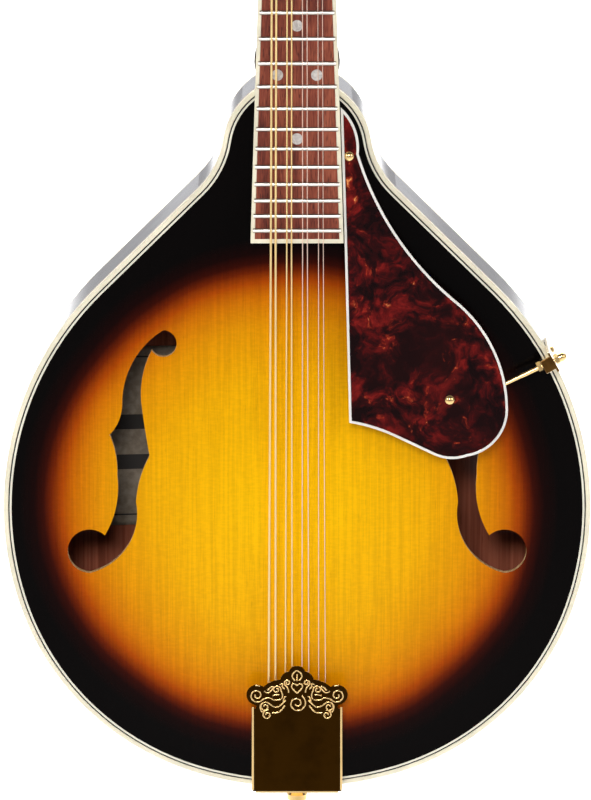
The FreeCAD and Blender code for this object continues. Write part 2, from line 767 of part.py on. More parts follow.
def make_strings():
    shaped("wound_strings", Part.makeCompound([make_string(index) for index in range(4)]))
    shaped("plain_strings", Part.makeCompound([make_string(index) for index in range(4, 8)]))


# ---------------------------------------------------------------- drawn outlines as sketches

def loop_of(pieces):
    return Part.Face(Part.Wire([edge_through(*piece) for piece in pieces]))


def pieces_of(wire):
    """A wire's edges as (first, middle, last) points; the middle is None on a straight edge."""
    pieces = []
    for edge in wire.OrderedEdges:
        low, high = edge.ParameterRange
        ends = [edge.valueAt(low), edge.valueAt(high)]
        if edge.Orientation == "Reversed":
            ends.reverse()
        straight = isinstance(edge.Curve, (Part.Line, Part.LineSegment))
        pieces.append((ends[0], None if straight else edge.valueAt((low + high) / 2), ends[1]))
    return pieces


def drawn(body, pieces, circles=()):
    """A sketch on a body's own XZ plane, with closed outlines and round holes."""
    sketch = body.newObject("Sketcher::SketchObject", body.Name + "_outline")
    plane = [item for item in body.Origin.OriginFeatures if item.Role == "XZ_Plane"][0]
    sketch.AttachmentSupport = [(plane, "")]
    sketch.MapMode = "FlatFace"

    def flat(point):
        return Vector(point.x, point.z, 0)

    for first, middle, last in pieces:
        if middle is None:
            sketch.addGeometry(Part.LineSegment(flat(first), flat(last)))
        else:
            sketch.addGeometry(Part.Arc(flat(first), flat(middle), flat(last)))
    for centre, formula in circles:
        number = sketch.addGeometry(Part.Circle(flat(centre), Vector(0, 0, 1), 1.0))
        constraint = sketch.addConstraint(Sketcher.Constraint("Radius", number, 1.0))
        bind(sketch, **{f"Constraints[{constraint}]": formula})
    return sketch


def padded(label, pieces, length, place, circles=(), forward=False):
    """A flat piece: an outline on the XZ plane of its own body, padded to the rear by a bound length."""
    body = doc.addObject("PartDesign::Body", label)
    sketch = drawn(body, pieces, circles)
    pad = body.newObject("PartDesign::Pad", label + "_pad")
    pad.Profile = sketch
    bind(pad, Length=length)
    pad.Reversed = not forward
    body.Placement = place
    return keep(body, label)


# ---------------------------------------------------------------- headstock and tuning machines

def post_centres():
    return [(side, place) for side in (-1, 1) for place in range(4)]


def post_holes():
    """Round holes through the headstock for the bushings and the posts."""
    rear = size("head_thickness") + 1
    holes = []
    for side, place in post_centres():
        x, z = side * size("post_out"), post_z(place)
        holes.append(rod(Vector(x, -5, z), Vector(x, 5, z), size("bushing_radius")))
        holes.append(rod(Vector(x, 4, z), Vector(x, rear, z), size("post_radius") + 0.4))
    return holes


PLATE_SHANK = 0.9
COVER_SHANK = 0.85
COVER_THICK = 1.6
PLATE_SCREW_LENGTH = 5.0
COVER_SCREW_LENGTH = COVER_THICK + 3.4


def head_screw_holes():
    """Holes for the screws of the tuner plates and of the truss rod cover."""
    rear = size("head_thickness")
    holes = [rod(spot + Vector(0, rear, 0), spot + Vector(0, rear - PLATE_SCREW_LENGTH, 0), PLATE_SHANK)
             for spot in plate_screw_spots()]
    front = -size("overlay") - COVER_THICK
    holes += [rod(spot + Vector(0, front, 0), spot + Vector(0, front + COVER_SCREW_LENGTH, 0), COVER_SHANK)
              for spot in truss_screw_spots()]
    return holes


def machine_rear():
    """Rear face of the tuner plates in the headstock frame."""
    return size("head_thickness") + size("machine_plate")


THREAD_REACH = 0.7
GEAR_REACH = 0.6
THREAD_SHARE = 0.341
TOOTH_SHARE = 0.409
THREAD_TURNS = 4
TAB_THICK = 1.2


def gear_radius():
    return size("gear_teeth") * size("worm_pitch") / (2 * math.pi)


def worm_axis(side, place):
    """Middle of a worm, in the headstock frame."""
    back = machine_rear() + size("worm_radius") + THREAD_REACH + 0.4
    return Vector(side * size("post_out"), back, post_z(place) + gear_radius() + size("worm_radius"))


def make_overlay():
    circles = [(Vector(side * size("post_out"), 0, post_z(place)), "bushing_radius")
               for side, place in post_centres()]
    circles += [(spot, f"{COVER_SHANK}") for spot in truss_screw_spots()]
    face = head_outline(0).cut(block((-60, -1, -60), (60, 1, 0.6)))
    pieces = pieces_of(face.Faces[0].OuterWire)
    slot = pieces_of(Part.Face(Part.makePolygon([
        Vector(-4.2, 0, 2.5), Vector(4.2, 0, 2.5), Vector(4.2, 0, 19), Vector(-4.2, 0, 19),
        Vector(-4.2, 0, 2.5)])).OuterWire)
    front = head_frame.multiply(Placement(Vector(0, -size("overlay"), 0), Rotation()))
    padded("headstock_overlay", pieces + slot, "overlay", front, circles)


def truss_cover_pieces():
    """A small bell-shaped cover over the truss rod's nut, in the headstock frame."""
    right = [
        (Vector(0, 0, 2.2), None, Vector(9, 0, 2.2)),
        (Vector(9, 0, 2.2), Vector(9.2, 0, 9), Vector(6.2, 0, 15)),
        (Vector(6.2, 0, 15), Vector(5.4, 0, 21), Vector(0, 0, 25))]
    left = [(mirrored(last), None if middle is None else mirrored(middle), mirrored(first))
            for first, middle, last in reversed(right)]
    return right + left


def screw(at, direction, head, shank, length):
    """A dome-headed screw whose head sits on a point, its shank running along direction."""
    dome = Part.makeSphere(head * 1.25, at + direction * head * 0.75)
    disc = rod(at - direction * head * 0.5, at, head)
    return joined([disc.common(dome), rod(at, at + direction * length, shank)])


def truss_screw_spots():
    return [Vector(-6.3, 0, 5), Vector(6.3, 0, 5), Vector(0, 0, 22)]


def plate_screw_spots():
    """Small screws along each tuner plate, clear of the worms."""
    spots = []
    for side in (-1, 1):
        for place in range(4):
            spots.append(Vector(side * (size("post_out") - 4.6), 0, post_z(place) + 13.2))
            spots.append(Vector(side * (size("post_out") + 4.6), 0, post_z(place) + 13.2))
    return spots


def make_headstock():
    make_overlay()
    front = -size("overlay")
    spots = truss_screw_spots()
    face = loop_of(truss_cover_pieces()).extrude(Vector(0, COVER_THICK, 0))
    face.translate(Vector(0, front - COVER_THICK, 0))
    holes = [rod(spot + Vector(0, front - 3, 0), spot + Vector(0, 1, 0), COVER_SHANK) for spot in spots]
    shaped("truss_rod_cover", face.cut(holes), head_frame)
    small = [screw(spot + Vector(0, front - COVER_THICK, 0), Vector(0, 1, 0), 1.5, COVER_SHANK, COVER_SCREW_LENGTH)
             for spot in spots]

    bushings = []
    for side, place in post_centres():
        x, z = side * size("post_out"), post_z(place)
        sleeve = rod(Vector(x, front - 1.2, z), Vector(x, 5, z), size("bushing_radius"))
        flange = rod(Vector(x, front - 1.2, z), Vector(x, front, z), size("bushing_radius") + 0.9)
        bore = rod(Vector(x, -9, z), Vector(x, 9, z), size("post_radius") + size("post_play"))
        bushings.append(joined([sleeve, flange]).cut(bore))
    shaped("tuner_bushings", Part.makeCompound(bushings), head_frame)

    plates = [make_machine_plate(side) for side in (-1, 1)]
    shaped("tuner_plates", Part.makeCompound(plates), head_frame)
    rear = machine_rear()
    plate_screws = [screw(spot + Vector(0, rear, 0), Vector(0, -1, 0), 1.5, PLATE_SHANK, PLATE_SCREW_LENGTH)
                    for spot in plate_screw_spots()]
    shaped("headstock_screws", Part.makeCompound(small + plate_screws), head_frame)


def make_machine_plate(side):
    """One tuner plate with two upright tabs for each worm shaft."""
    front, rear = size("head_thickness"), machine_rear()
    middle, half = side * size("post_out"), size("machine_width") / 2
    low, high = post_z(0) - 8, post_z(3) + 18
    solids = [block((middle - half, front, low), (middle + half, rear, high))]
    holes = []
    for place in range(4):
        axis = worm_axis(side, place)
        reach = THREAD_TURNS * size("worm_pitch") / 2 + 0.35
        for direction in (-1, 1):
            near, far = sorted((middle + direction * reach, middle + direction * (reach + TAB_THICK)))
            solids.append(block((near, rear - 0.1, axis.z - 3.2), (far, axis.y + 2.8, axis.z + 3.2)))
        holes.append(rod(Vector(middle - 9, axis.y, axis.z), Vector(middle + 9, axis.y, axis.z),
                         size("shaft_radius") + size("post_play")))
        holes.append(rod(Vector(middle, 0, post_z(place)), Vector(middle, rear + 1, post_z(place)),
                         size("post_radius") + size("post_play")))
    holes += [rod(spot, spot + Vector(0, rear + 1, 0), PLATE_SHANK) for spot in plate_screw_spots()]
    return joined(solids).cut(holes)


def worm_shape():
    """A worm shaft lying along X, its thread centred on X = 0."""
    pitch = size("worm_pitch")
    tip = size("worm_radius") + THREAD_REACH
    root = size("shaft_radius") - 0.15
    long = pitch * (THREAD_TURNS - 1)
    helix = Part.makeHelix(pitch, long, size("worm_radius"))
    half = THREAD_SHARE * pitch / 2
    profile = Part.makePolygon([
        Vector(root, 0, -half), Vector(tip, 0, -half * 0.8), Vector(tip, 0, half * 0.8), Vector(root, 0, half),
        Vector(root, 0, -half)])
    thread = Part.Wire(helix).makePipeShell([profile], True, True)
    thread.translate(Vector(0, 0, -long / 2))
    thread.rotate(Vector(0, 0, 0), Vector(0, 1, 0), 90)
    return thread


def gear_shape():
    """A gear in the XZ plane, one tooth pointing up, centred on Y = 0."""
    wide = size("gear_width")
    pitch_radius = gear_radius()
    root = pitch_radius - THREAD_REACH - 0.3
    disc = rod(Vector(0, -wide / 2, 0), Vector(0, wide / 2, 0), root)
    half = TOOTH_SHARE * size("worm_pitch") / 2
    tip = pitch_radius + GEAR_REACH
    tooth_face = Part.Face(Part.makePolygon([
        Vector(-half * 1.25, 0, root - 0.4), Vector(half * 1.25, 0, root - 0.4), Vector(half * 0.7, 0, tip),
        Vector(-half * 0.7, 0, tip), Vector(-half * 1.25, 0, root - 0.4)]))
    tooth_face.translate(Vector(0, -wide / 2, 0))
    tooth = tooth_face.extrude(Vector(0, wide, 0))
    teeth = []
    for number in range(int(size("gear_teeth"))):
        turned = tooth.copy()
        turned.rotate(Vector(0, 0, 0), Vector(0, 1, 0), 360 * number / size("gear_teeth"))
        teeth.append(turned)
    return joined([disc] + teeth)


def button_shape():
    """A tuner button growing along X from its inner end: a short collar and a flattened oval."""
    collar, half = 2.6, size("button_width") / 2
    long = (size("button_length") - collar * 0.5) / 2
    stretch = FreeCAD.Matrix()
    stretch.scale(long, half * 0.52, half)
    oval = Part.makeSphere(1.0).transformGeometry(stretch)
    oval.translate(Vector(size("button_length") - long, 0, 0))
    neck = rod(Vector(0, 0, 0), Vector(collar * 1.5, 0, 0), half * 0.4)
    return joined([oval, neck])


def make_tuners():
    thread, gear, button = worm_shape(), gear_shape(), button_shape()
    radius = size("shaft_radius")
    inner = THREAD_TURNS * size("worm_pitch") / 2 + 0.35 + TAB_THICK + 0.8
    outer = size("head_width") / 2 + 3.0 - size("post_out")
    grip = size("button_length") * 0.6
    for number, (side, place) in enumerate(post_centres(), start=1):
        axis = worm_axis(side, place)
        core = rod(Vector(-inner * side, 0, 0), Vector((outer + grip) * side, 0, 0), radius)
        shaft = joined([core, thread])
        shaft.translate(axis)
        shaped(f"worm_shaft_{number}", shaft, head_frame)
        handle = button if side > 0 else button.mirror(Vector(0, 0, 0), Vector(1, 0, 0))
        handle = handle.copy()
        handle.translate(axis + Vector(outer * side, 0, 0))
        handle = handle.cut(rod(axis, axis + Vector((outer + grip) * side, 0, 0), radius))
        shaped(f"tuner_button_{number}", handle, head_frame)

        x, z = side * size("post_out"), post_z(place)
        front = -size("overlay") - size("post_height")
        stem = rod(Vector(x, front, z), Vector(x, axis.y + size("gear_width") / 2 + 1.2, z), size("post_radius"))
        hub = rod(Vector(x, machine_rear() + 0.25, z), Vector(x, axis.y, z), size("post_radius") + 0.5)
        toothed = gear.copy()
        toothed.translate(Vector(x, axis.y, z))
        eye = rod(Vector(x - 5, -size("overlay") - STRING_LEVEL - 2.0, z),
                  Vector(x + 5, -size("overlay") - STRING_LEVEL - 2.0, z), 0.8)
        shaped(f"string_post_{number}", joined([stem, hub, toothed]).cut(eye), head_frame)


# ---------------------------------------------------------------- tailpiece and end pin



def cover_pieces():
    """The tailpiece cover from the front: straight sides under a crown of lobes between two scrolls."""
    half = size("cover_width") / 2
    low = size("pin_length") + size("cover_bottom")
    top = low + size("cover_length")
    scroll = Vector(half - 2.1, 0, top + 5.8)
    reach = 4.8

    def on_scroll(degrees):
        turn = math.radians(degrees)
        return scroll + Vector(math.cos(turn), 0, math.sin(turn)) * reach

    right = [
        (Vector(0, 0, low), None, Vector(half, 0, low)),
        (Vector(half, 0, low), None, Vector(half, 0, top)),
        (Vector(half, 0, top), Vector(half - 1.9, 0, top + 0.3), on_scroll(-80)),
        (on_scroll(-80), on_scroll(20), on_scroll(128)),
        (on_scroll(128), Vector(10.6, 0, top + 12.4), Vector(7.6, 0, top + 13.0)),
        (Vector(7.6, 0, top + 13.0), Vector(6.3, 0, top + 15.6), Vector(3.7, 0, top + 16.8)),
        (Vector(3.7, 0, top + 16.8), Vector(2.5, 0, top + 18.7), Vector(0, 0, top + 19.4))]
    left = [(mirrored(last), None if middle is None else mirrored(middle), mirrored(first))
            for first, middle, last in reversed(right)]
    return right + left


def make_tailpiece():
    half = size("cover_width") / 2
    wall = size("cover_wall")
    front = edge_front - size("cover_rise")
    low = size("pin_length") + size("cover_bottom")
    top = low + size("cover_length")
    sheet_front = prism(loop_of(cover_pieces()), front, front + wall)
    side_back = edge_front - 2.4
    walls = [block((half - wall, front, low), (half, side_back, top)),
             block((-half, front, low), (wall - half, side_back, top))]
    shaped("tailpiece_cover", joined([sheet_front] + walls))

    base_half = half - wall - size("base_play")
    base_front = edge_front - size("base_rise") - size("base_wall")
    tail = size("pin_length")
    base_top = top - 6
    plate = block((-base_half, base_front, tail - size("base_wall")), (base_half, base_front + size("base_wall"), base_top))
    flange_back = size("pin_head") + 4.3
    flange = block((-base_half, base_front, tail - size("base_wall")), (base_half, flange_back, tail - 0.02))
    corner_cuts = [block((s * base_half - 9 * (s > 0), -3, tail - 4), (s * base_half + 9 * (s < 0), 14, tail + 4))
                   for s in (-1, 1)]
    hooks = []
    for index in range(8):
        at = hook_centre(index)
        hooks.append(rod(Vector(at.x, base_front + 0.2, at.z), Vector(at.x, base_front - 2.6, at.z),
                         size("hook_radius")))
        hooks.append(rod(Vector(at.x, base_front - 2.0, at.z - 0.5), Vector(at.x, base_front - 2.9, at.z - 0.5),
                         size("hook_radius") + 0.6))
    hole = rod(Vector(0, 0, 0), Vector(0, 0, tail + 2), pin_shank)
    shank_holes = [rod(spot - Vector(0, 0, 3), spot + Vector(0, 0, 6), TAIL_SHANK) for spot in tail_screw_spots()]
    shaped("tailpiece_base", joined([plate, flange] + hooks).cut(corner_cuts + [hole] + shank_holes))


def tail_screws():
    return [screw(spot, Vector(0, 0, 1), size("screw_head"), TAIL_SHANK, TAIL_SCREW_LENGTH)
            for spot in tail_screw_spots()]


def make_end_pin():
    """The end pin turned about Z: head, waist, collar against the tailpiece and a plain shank."""
    body = doc.addObject("PartDesign::Body", "end_pin")
    head, tail = size("pin_head"), size("pin_length") - size("base_wall")
    profile = [
        Vector(0, 0, 0.8), Vector(1.6, 0, 0.8), Vector(2.0, 0, 0), Vector(head, 0, 0), Vector(head, 0, 2.4),
        Vector(head - 0.9, 0, 3.4), Vector(3.1, 0, 4.6), Vector(2.9, 0, tail - 3.0), Vector(head - 0.7, 0, tail - 1.4),
        Vector(head - 0.4, 0, tail), Vector(pin_shank, 0, tail), Vector(pin_shank, 0, tail + 18), Vector(0, 0, tail + 19)]
    pieces = [(first, None, last) for first, last in zip(profile, profile[1:] + profile[:1])]
    sketch = drawn(body, pieces)
    turned = body.newObject("PartDesign::Revolution", "end_pin_turned")
    turned.Profile = sketch
    turned.ReferenceAxis = (sketch, ["V_Axis"])
    turned.Angle = 360
    keep(body, "end_pin")


# ---------------------------------------------------------------- pickguard and its bracket

def guard_pieces():
    """The pickguard's outline in the neck frame, drawn from the fingerboard's lower end."""
    low = board_low()
    beside = size("guard_gap")

    def at(x, up):
        return Vector(x, 0, low + up)

    top = 61.0
    top_corner = Vector(board_half(low + top) + beside, 0, low + top)
    board_corner = Vector(board_half(low) + beside, 0, low)
    return [
        (top_corner, at(25.6, 52.6), at(27.6, 40.0)),
        (at(27.6, 40.0), at(43.0, 6.2), at(73.0, -27.5)),
        (at(73.0, -27.5), at(90.8, -53.0), at(95.0, -74.0)),
        (at(95.0, -74.0), at(90.8, -88.6), at(77.0, -97.0)),
        (at(77.0, -97.0), at(69.2, -98.2), at(61.5, -96.3)),
        (at(61.5, -96.3), None, at(44.0, -88.0)),
        (at(44.0, -88.0), at(34.2, -84.2), at(23.5, -81.7)),
        (at(23.5, -81.7), None, board_corner),
        (board_corner, None, top_corner)]


def guard_screw_spots():
    """The two pickguard screws, on the guard's front face, in the neck frame."""
    low = board_low()
    return [Vector(22.9 + size("guard_gap"), size("guard_drop"), low + 39.0), Vector(68.8, size("guard_drop"), low - 71.3)]


def make_pickguard():
    surface = neck_frame.multiply(Placement(Vector(0, size("guard_drop"), 0), Rotation()))
    outer = loop_of(guard_pieces())
    inner = outer.makeOffset2D(-size("guard_edge"))
    spots = guard_screw_spots()
    centres = [(Vector(spot.x, 0, spot.z), "screw_head * 0.5") for spot in spots]
    padded("pickguard", pieces_of(inner.OuterWire), "guard_thickness", surface, centres)
    band = outer.cut(inner).extrude(Vector(0, size("guard_thickness"), 0))
    shaped("pickguard_edge", band, surface)

    behind = size("guard_drop") + size("guard_thickness")
    upper, lower = spots
    near = board_half(upper.z) + 0.4
    support = placed(block((near, behind, upper.z - 6), (near + 6.4, behind + 16, upper.z + 6)), neck_frame)
    support = support.cut(arch_slab(edge_front, size("top_arch"), 60, -1))
    pilot = placed(rod(upper, upper + Vector(0, behind + 3.5, 0), size("screw_head") * 0.5), neck_frame)
    shaped("pickguard_support", max(support.cut(pilot).Solids, key=lambda solid: solid.Volume))
    long = size("guard_thickness") + 1.2
    screws = [placed(screw(upper, Vector(0, 1, 0), size("screw_head"), size("screw_head") * 0.5, long + 2), neck_frame),
              placed(screw(lower, Vector(0, 1, 0), size("screw_head"), size("screw_head") * 0.5, long + 0.4), neck_frame)]
    make_bracket(lower, behind, screws)


HEX_REACH = 2.6
HEX_THICK = 1.9
BLOCK_DEPTH = 4.6


def make_bracket(lower, behind, screws):
    """The side bracket: a foot on the rim, a block in front of the edge, and a rod to the pickguard."""
    outward = bracket_outward()
    along = Vector(-outward.z, 0, outward.x)
    edge = bracket_edge()

    level = behind + size("bracket_rod") + 0.2
    start = neck_frame.multVec(Vector(lower.x + 17.0, level, lower.z + 3.2))
    rod_height = neck_frame.multVec(Vector(0, level, lower.z + 16.5)).y
    over_edge = Vector(edge.x, rod_height, edge.z)
    direction = (over_edge - start).normalize()

    slant = outward.dot(direction)
    nut_tilt = HEX_REACH * math.sqrt(1 - slant ** 2)
    inner_nut = (BLOCK_DEPTH + 0.3 + nut_tilt) / slant + HEX_THICK
    outer_nut = (size("bracket_wall") + 0.1 + nut_tilt) / slant

    stand = Placement(Vector(edge.x, 0, edge.z), Rotation(along * -1, Vector(0, 1, 0), outward, "ZYX"))
    wide, wall = size("bracket_width") / 2, size("bracket_wall")
    foot = placed(block((-wide, rod_height - 3.4, 0.05), (wide, glue_front + 16, wall)), stand)
    head = placed(block((-3.3, rod_height - 3.4, -BLOCK_DEPTH), (3.3, rod_height + 3.4, wall)), stand)
    passage = rod(over_edge - direction * 12, over_edge + direction * 9, size("bracket_rod") + 0.25)
    foot_screw_at = bracket_foot_screw()
    foot_hole = rod(foot_screw_at + outward * 2, foot_screw_at - outward * 6, FOOT_SHANK)
    shaped("pickguard_bracket", joined([foot, head]).cut([passage, foot_hole]))
    screws.append(screw(foot_screw_at, outward * -1, size("screw_head"), FOOT_SHANK, wall + 2.0))
    shaped("body_screws", Part.makeCompound(screws + tail_screws()))

    thin = rod(start, start + direction * 17, size("bracket_rod") - 0.15)
    thick = rod(start + direction * 17, over_edge + direction * 5.0, size("bracket_rod"))
    tab_end = neck_frame.inverse().multVec(start)
    run = Vector(tab_end.x - lower.x, 0, tab_end.z - lower.z)
    half = Vector(-run.z, 0, run.x).normalize() * 3.4
    corners = [lower + half, lower - half, lower - half + run, lower + half + run]
    corners = [Vector(corner.x, behind, corner.z) for corner in corners]
    tab = Part.Face(Part.makePolygon(corners + corners[:1])).extrude(Vector(0, 1.2, 0))
    tab = tab.fuse(rod(Vector(lower.x, behind, lower.z), Vector(lower.x, behind + 1.2, lower.z), 3.4))
    tab = tab.cut(rod(lower, lower + Vector(0, behind + 4, 0), size("screw_head") * 0.5))
    shaped("pickguard_rod", joined([placed(tab, neck_frame), thin, thick]))

    nuts = [
        hex_nut(over_edge - direction * inner_nut, direction),
        cap_nut(over_edge + direction * outer_nut, direction)]
    bore = rod(over_edge - direction * 20, over_edge + direction * 5.0, size("bracket_rod"))
    shaped("pickguard_nuts", Part.makeCompound([nut.cut(bore) for nut in nuts]))


def hex_nut(at, direction):
    """A small hexagonal nut starting at a point."""
    corners = [Vector(HEX_REACH * math.cos(math.radians(60 * n)), HEX_REACH * math.sin(math.radians(60 * n)), 0)
               for n in range(7)]
    nut = Part.Face(Part.makePolygon(corners)).extrude(Vector(0, 0, HEX_THICK))
    nut.Placement = Placement(at, Rotation(Vector(0, 0, 1), direction))
    return nut


def cap_nut(at, direction):
    """A hexagonal nut closed by a dome."""
    dome_foot = at + direction * HEX_THICK
    dome = Part.makeSphere(2.1, dome_foot + direction * 1.6)
    neck = rod(dome_foot, dome_foot + direction * 1.6, 2.1)
    return joined([hex_nut(at, direction), neck, dome.common(rod(dome_foot, dome_foot + direction * 6, 3))])


def make_truss_nut():
    """The brass nut on the truss rod, reached from the headstock's pocket."""
    level = size("board_thickness") + size("rod_radius") + 0.6
    start = size("nut_thickness") + 2.4
    barrel = rod(Vector(0, level, start), Vector(0, level, start + 8), 2.5)
    corners = [Vector(1.3 * math.cos(math.radians(60 * n)), level, start + 4) + Vector(0, 1.3 * math.sin(math.radians(60 * n)), 0)
               for n in range(7)]
    socket = Part.Face(Part.makePolygon(corners)).extrude(Vector(0, 0, 5))
    shaped("truss_rod_nut", barrel.cut(socket), neck_frame)


make_body()
make_neck()
make_fingerboard()
make_nut()
make_headstock()
make_tuners()
make_truss_nut()
make_strings()
make_tailpiece()
make_end_pin()
make_pickguard()
doc.recompute()

for item in doc.Objects:
    if "Invalid" in item.State or "Error" in item.State:
        raise RuntimeError(f"{item.Label} did not compute: {item.State}")
for item in subparts:
    if item.Shape.isNull() or not item.Shape.isValid() or not item.Shape.Solids:
        raise RuntimeError(f"{item.Label} has no valid solid")

os.makedirs("parts", exist_ok=True)
for item in subparts:
    item.Shape.exportStep(f"parts/{item.Label}.step")
    print(f"{item.Label}: {len(item.Shape.Solids)} solids, {item.Shape.Volume:.1f} mm3")
print(f"{len(subparts)} sub-parts")
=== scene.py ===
"""Looks, light and camera for an arch-top mandolin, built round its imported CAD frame."""

import json
import math

import bpy
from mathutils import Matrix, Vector
from mathutils.bvhtree import BVHTree


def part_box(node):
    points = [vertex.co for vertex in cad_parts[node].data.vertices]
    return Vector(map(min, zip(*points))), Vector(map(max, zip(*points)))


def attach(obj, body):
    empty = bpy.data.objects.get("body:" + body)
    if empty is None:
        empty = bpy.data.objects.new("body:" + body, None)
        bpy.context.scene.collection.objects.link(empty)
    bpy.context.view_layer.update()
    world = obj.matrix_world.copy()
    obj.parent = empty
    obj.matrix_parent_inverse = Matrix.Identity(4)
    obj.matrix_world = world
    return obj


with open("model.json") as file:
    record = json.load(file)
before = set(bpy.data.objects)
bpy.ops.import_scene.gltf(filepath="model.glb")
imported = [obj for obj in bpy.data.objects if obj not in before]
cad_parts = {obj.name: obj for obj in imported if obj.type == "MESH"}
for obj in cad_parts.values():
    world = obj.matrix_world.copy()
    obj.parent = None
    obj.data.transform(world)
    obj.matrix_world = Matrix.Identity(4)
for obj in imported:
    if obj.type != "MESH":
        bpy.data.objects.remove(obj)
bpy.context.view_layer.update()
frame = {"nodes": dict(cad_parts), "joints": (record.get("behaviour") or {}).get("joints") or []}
nodes = frame["nodes"]
joints = {joint["name"]: joint for joint in frame["joints"]}

MM = 0.001


# ---------------------------------------------------------------- materials, node by node

class Surface:
    """A Principled material, with short calls for the nodes that give it its detail."""

    def __init__(self, name, colour, roughness, metallic=0.0, **sockets):
        self.material = bpy.data.materials.new(name)
        self.material.use_nodes = True
        self.tree = self.material.node_tree
        self.shader = self.tree.nodes["Principled BSDF"]
        self.shader.inputs["Base Color"].default_value = (*colour, 1.0)
        self.shader.inputs["Roughness"].default_value = roughness
        self.shader.inputs["Metallic"].default_value = metallic
        for socket, value in sockets.items():
            self.shader.inputs[socket.replace("_", " ")].default_value = value
        self.coordinates = self.tree.nodes.new("ShaderNodeTexCoord")
        self.height = None

    def add(self, kind, inputs=(), **settings):
        """A new node. An input is given by number or name, as a value or as another node's output."""
        node = self.tree.nodes.new("ShaderNode" + kind)
        for name, value in settings.items():
            setattr(node, name, value)
        for key, value in dict(inputs).items():
            if isinstance(value, bpy.types.NodeSocket):
                self.tree.links.new(value, node.inputs[key])
            else:
                node.inputs[key].default_value = value
        return node

    def feed(self, socket, output):
        self.tree.links.new(output, self.shader.inputs[socket])

    def point(self, stretch=(1.0, 1.0, 1.0)):
        """Position on the object in metres, drawn out along an axis where its stretch is below 1."""
        return self.add("Mapping", {0: self.coordinates.outputs["Object"], "Scale": stretch}).outputs[0]

    def axes(self):
        """X, Y and Z in millimetres."""
        scaled = self.point((1000.0, 1000.0, 1000.0))
        return self.add("SeparateXYZ", {0: scaled}).outputs

    def facing(self):
        """X, Y and Z of the surface normal."""
        return self.add("SeparateXYZ", {0: self.coordinates.outputs["Normal"]}).outputs

    def noise(self, scale, detail=3.0, stretch=(1.0, 1.0, 1.0), distortion=0.0, roughness=0.55, place=None):
        """Cloudy values from 0 to 1, read at the object's own position or at a given place."""
        return self.add("TexNoise", {
            "Vector": self.point(stretch) if place is None else place, "Scale": scale, "Detail": detail,
            "Roughness": roughness, "Distortion": distortion}).outputs["Fac"]

    def math(self, operation, *values):
        return self.add("Math", dict(enumerate(values)), operation=operation).outputs[0]

    def plus(self, first, second):
        return self.math("ADD", first, second)

    def minus(self, first, second):
        return self.math("SUBTRACT", first, second)

    def times(self, first, second):
        return self.math("MULTIPLY", first, second)

    def span(self, value, low, high, to_low=0.0, to_high=1.0):
        """Carry a value from one range to another, smoothly and with both ends held."""
        node = self.add("MapRange", {0: value, 1: low, 2: high, 3: to_low, 4: to_high})
        node.interpolation_type = "SMOOTHSTEP"
        return node.outputs[0]

    def ramp(self, value, stops):
        """Colours along a value, from (place, colour) stops."""
        node = self.add("ValToRGB", {0: value})
        elements = node.color_ramp.elements
        while len(elements) < len(stops):
            elements.new(1.0)
        for element, (place, colour) in zip(elements, stops):
            element.position = place
            element.color = (*colour, 1.0)
        return node.outputs[0]

    def mix(self, share, first, second, blend="MIX"):
        """Blend two colours. A colour is three numbers or another node's output."""
        node = self.add("Mix", {0: share}, data_type="RGBA", blend_type=blend)
        for key, colour in ((6, first), (7, second)):
            if isinstance(colour, bpy.types.NodeSocket):
                self.tree.links.new(colour, node.inputs[key])
            else:
                node.inputs[key].default_value = (*colour, 1.0)
        return node.outputs[2]

    def bump(self, height, depth, strength=1.0):
        """Raise the surface by a height of 0 to 1 times depth in metres, on top of earlier calls."""
        inputs = {"Height": height, "Distance": depth, "Strength": strength}
        if self.height is not None:
            inputs["Normal"] = self.height
        self.height = self.add("Bump", inputs).outputs[0]
        self.feed("Normal", self.height)

    def worn_gloss(self, polished, worn, scale=60.0):
        """Roughness that wanders between two values, as handling leaves it."""
        self.feed("Roughness", self.span(self.noise(scale, 4.0), 0.35, 0.7, polished, worn))


def lacquered(name, colour, roughness):
    """A glossy finish whose surface has the faint unevenness of sprayed lacquer."""
    surface = Surface(name, colour, roughness, Specular_IOR_Level=0.2)
    surface.worn_gloss(roughness * 0.8, roughness * 1.35, 45.0)
    surface.bump(surface.noise(220.0, 2.0), 0.00002, 0.5)
    return surface


# ---------------------------------------------------------------- wood

BODY_MIDDLE = 157.0
BURST_CENTRE = (-3.0, 146.7)
BURST_REACH = 130.2
BURST_NECK_END = 295.0
FLANK_POINT = (90.4, 246.4)
FLANK_NORMAL = (0.702, 0.712)
BURST_SOFTNESS = 16.0
BURST_WANDER = 1.6
BACK_BURST = (12.0, 58.0)

BURST_COLOURS = [
    (8.0, (0.0015, 0.0009, 0.0008)), (15.0, (0.0070, 0.0008, 0.0006)), (19.5, (0.032, 0.0026, 0.0006)),
    (23.0, (0.127, 0.0130, 0.0008)), (28.0, (0.352, 0.054, 0.0010)), (35.0, (0.546, 0.150, 0.0012)),
    (47.0, (0.665, 0.256, 0.0012)), (70.0, (0.760, 0.360, 0.0012)), (110.0, (0.840, 0.445, 0.0014))]
BURST_SPAN = 120.0


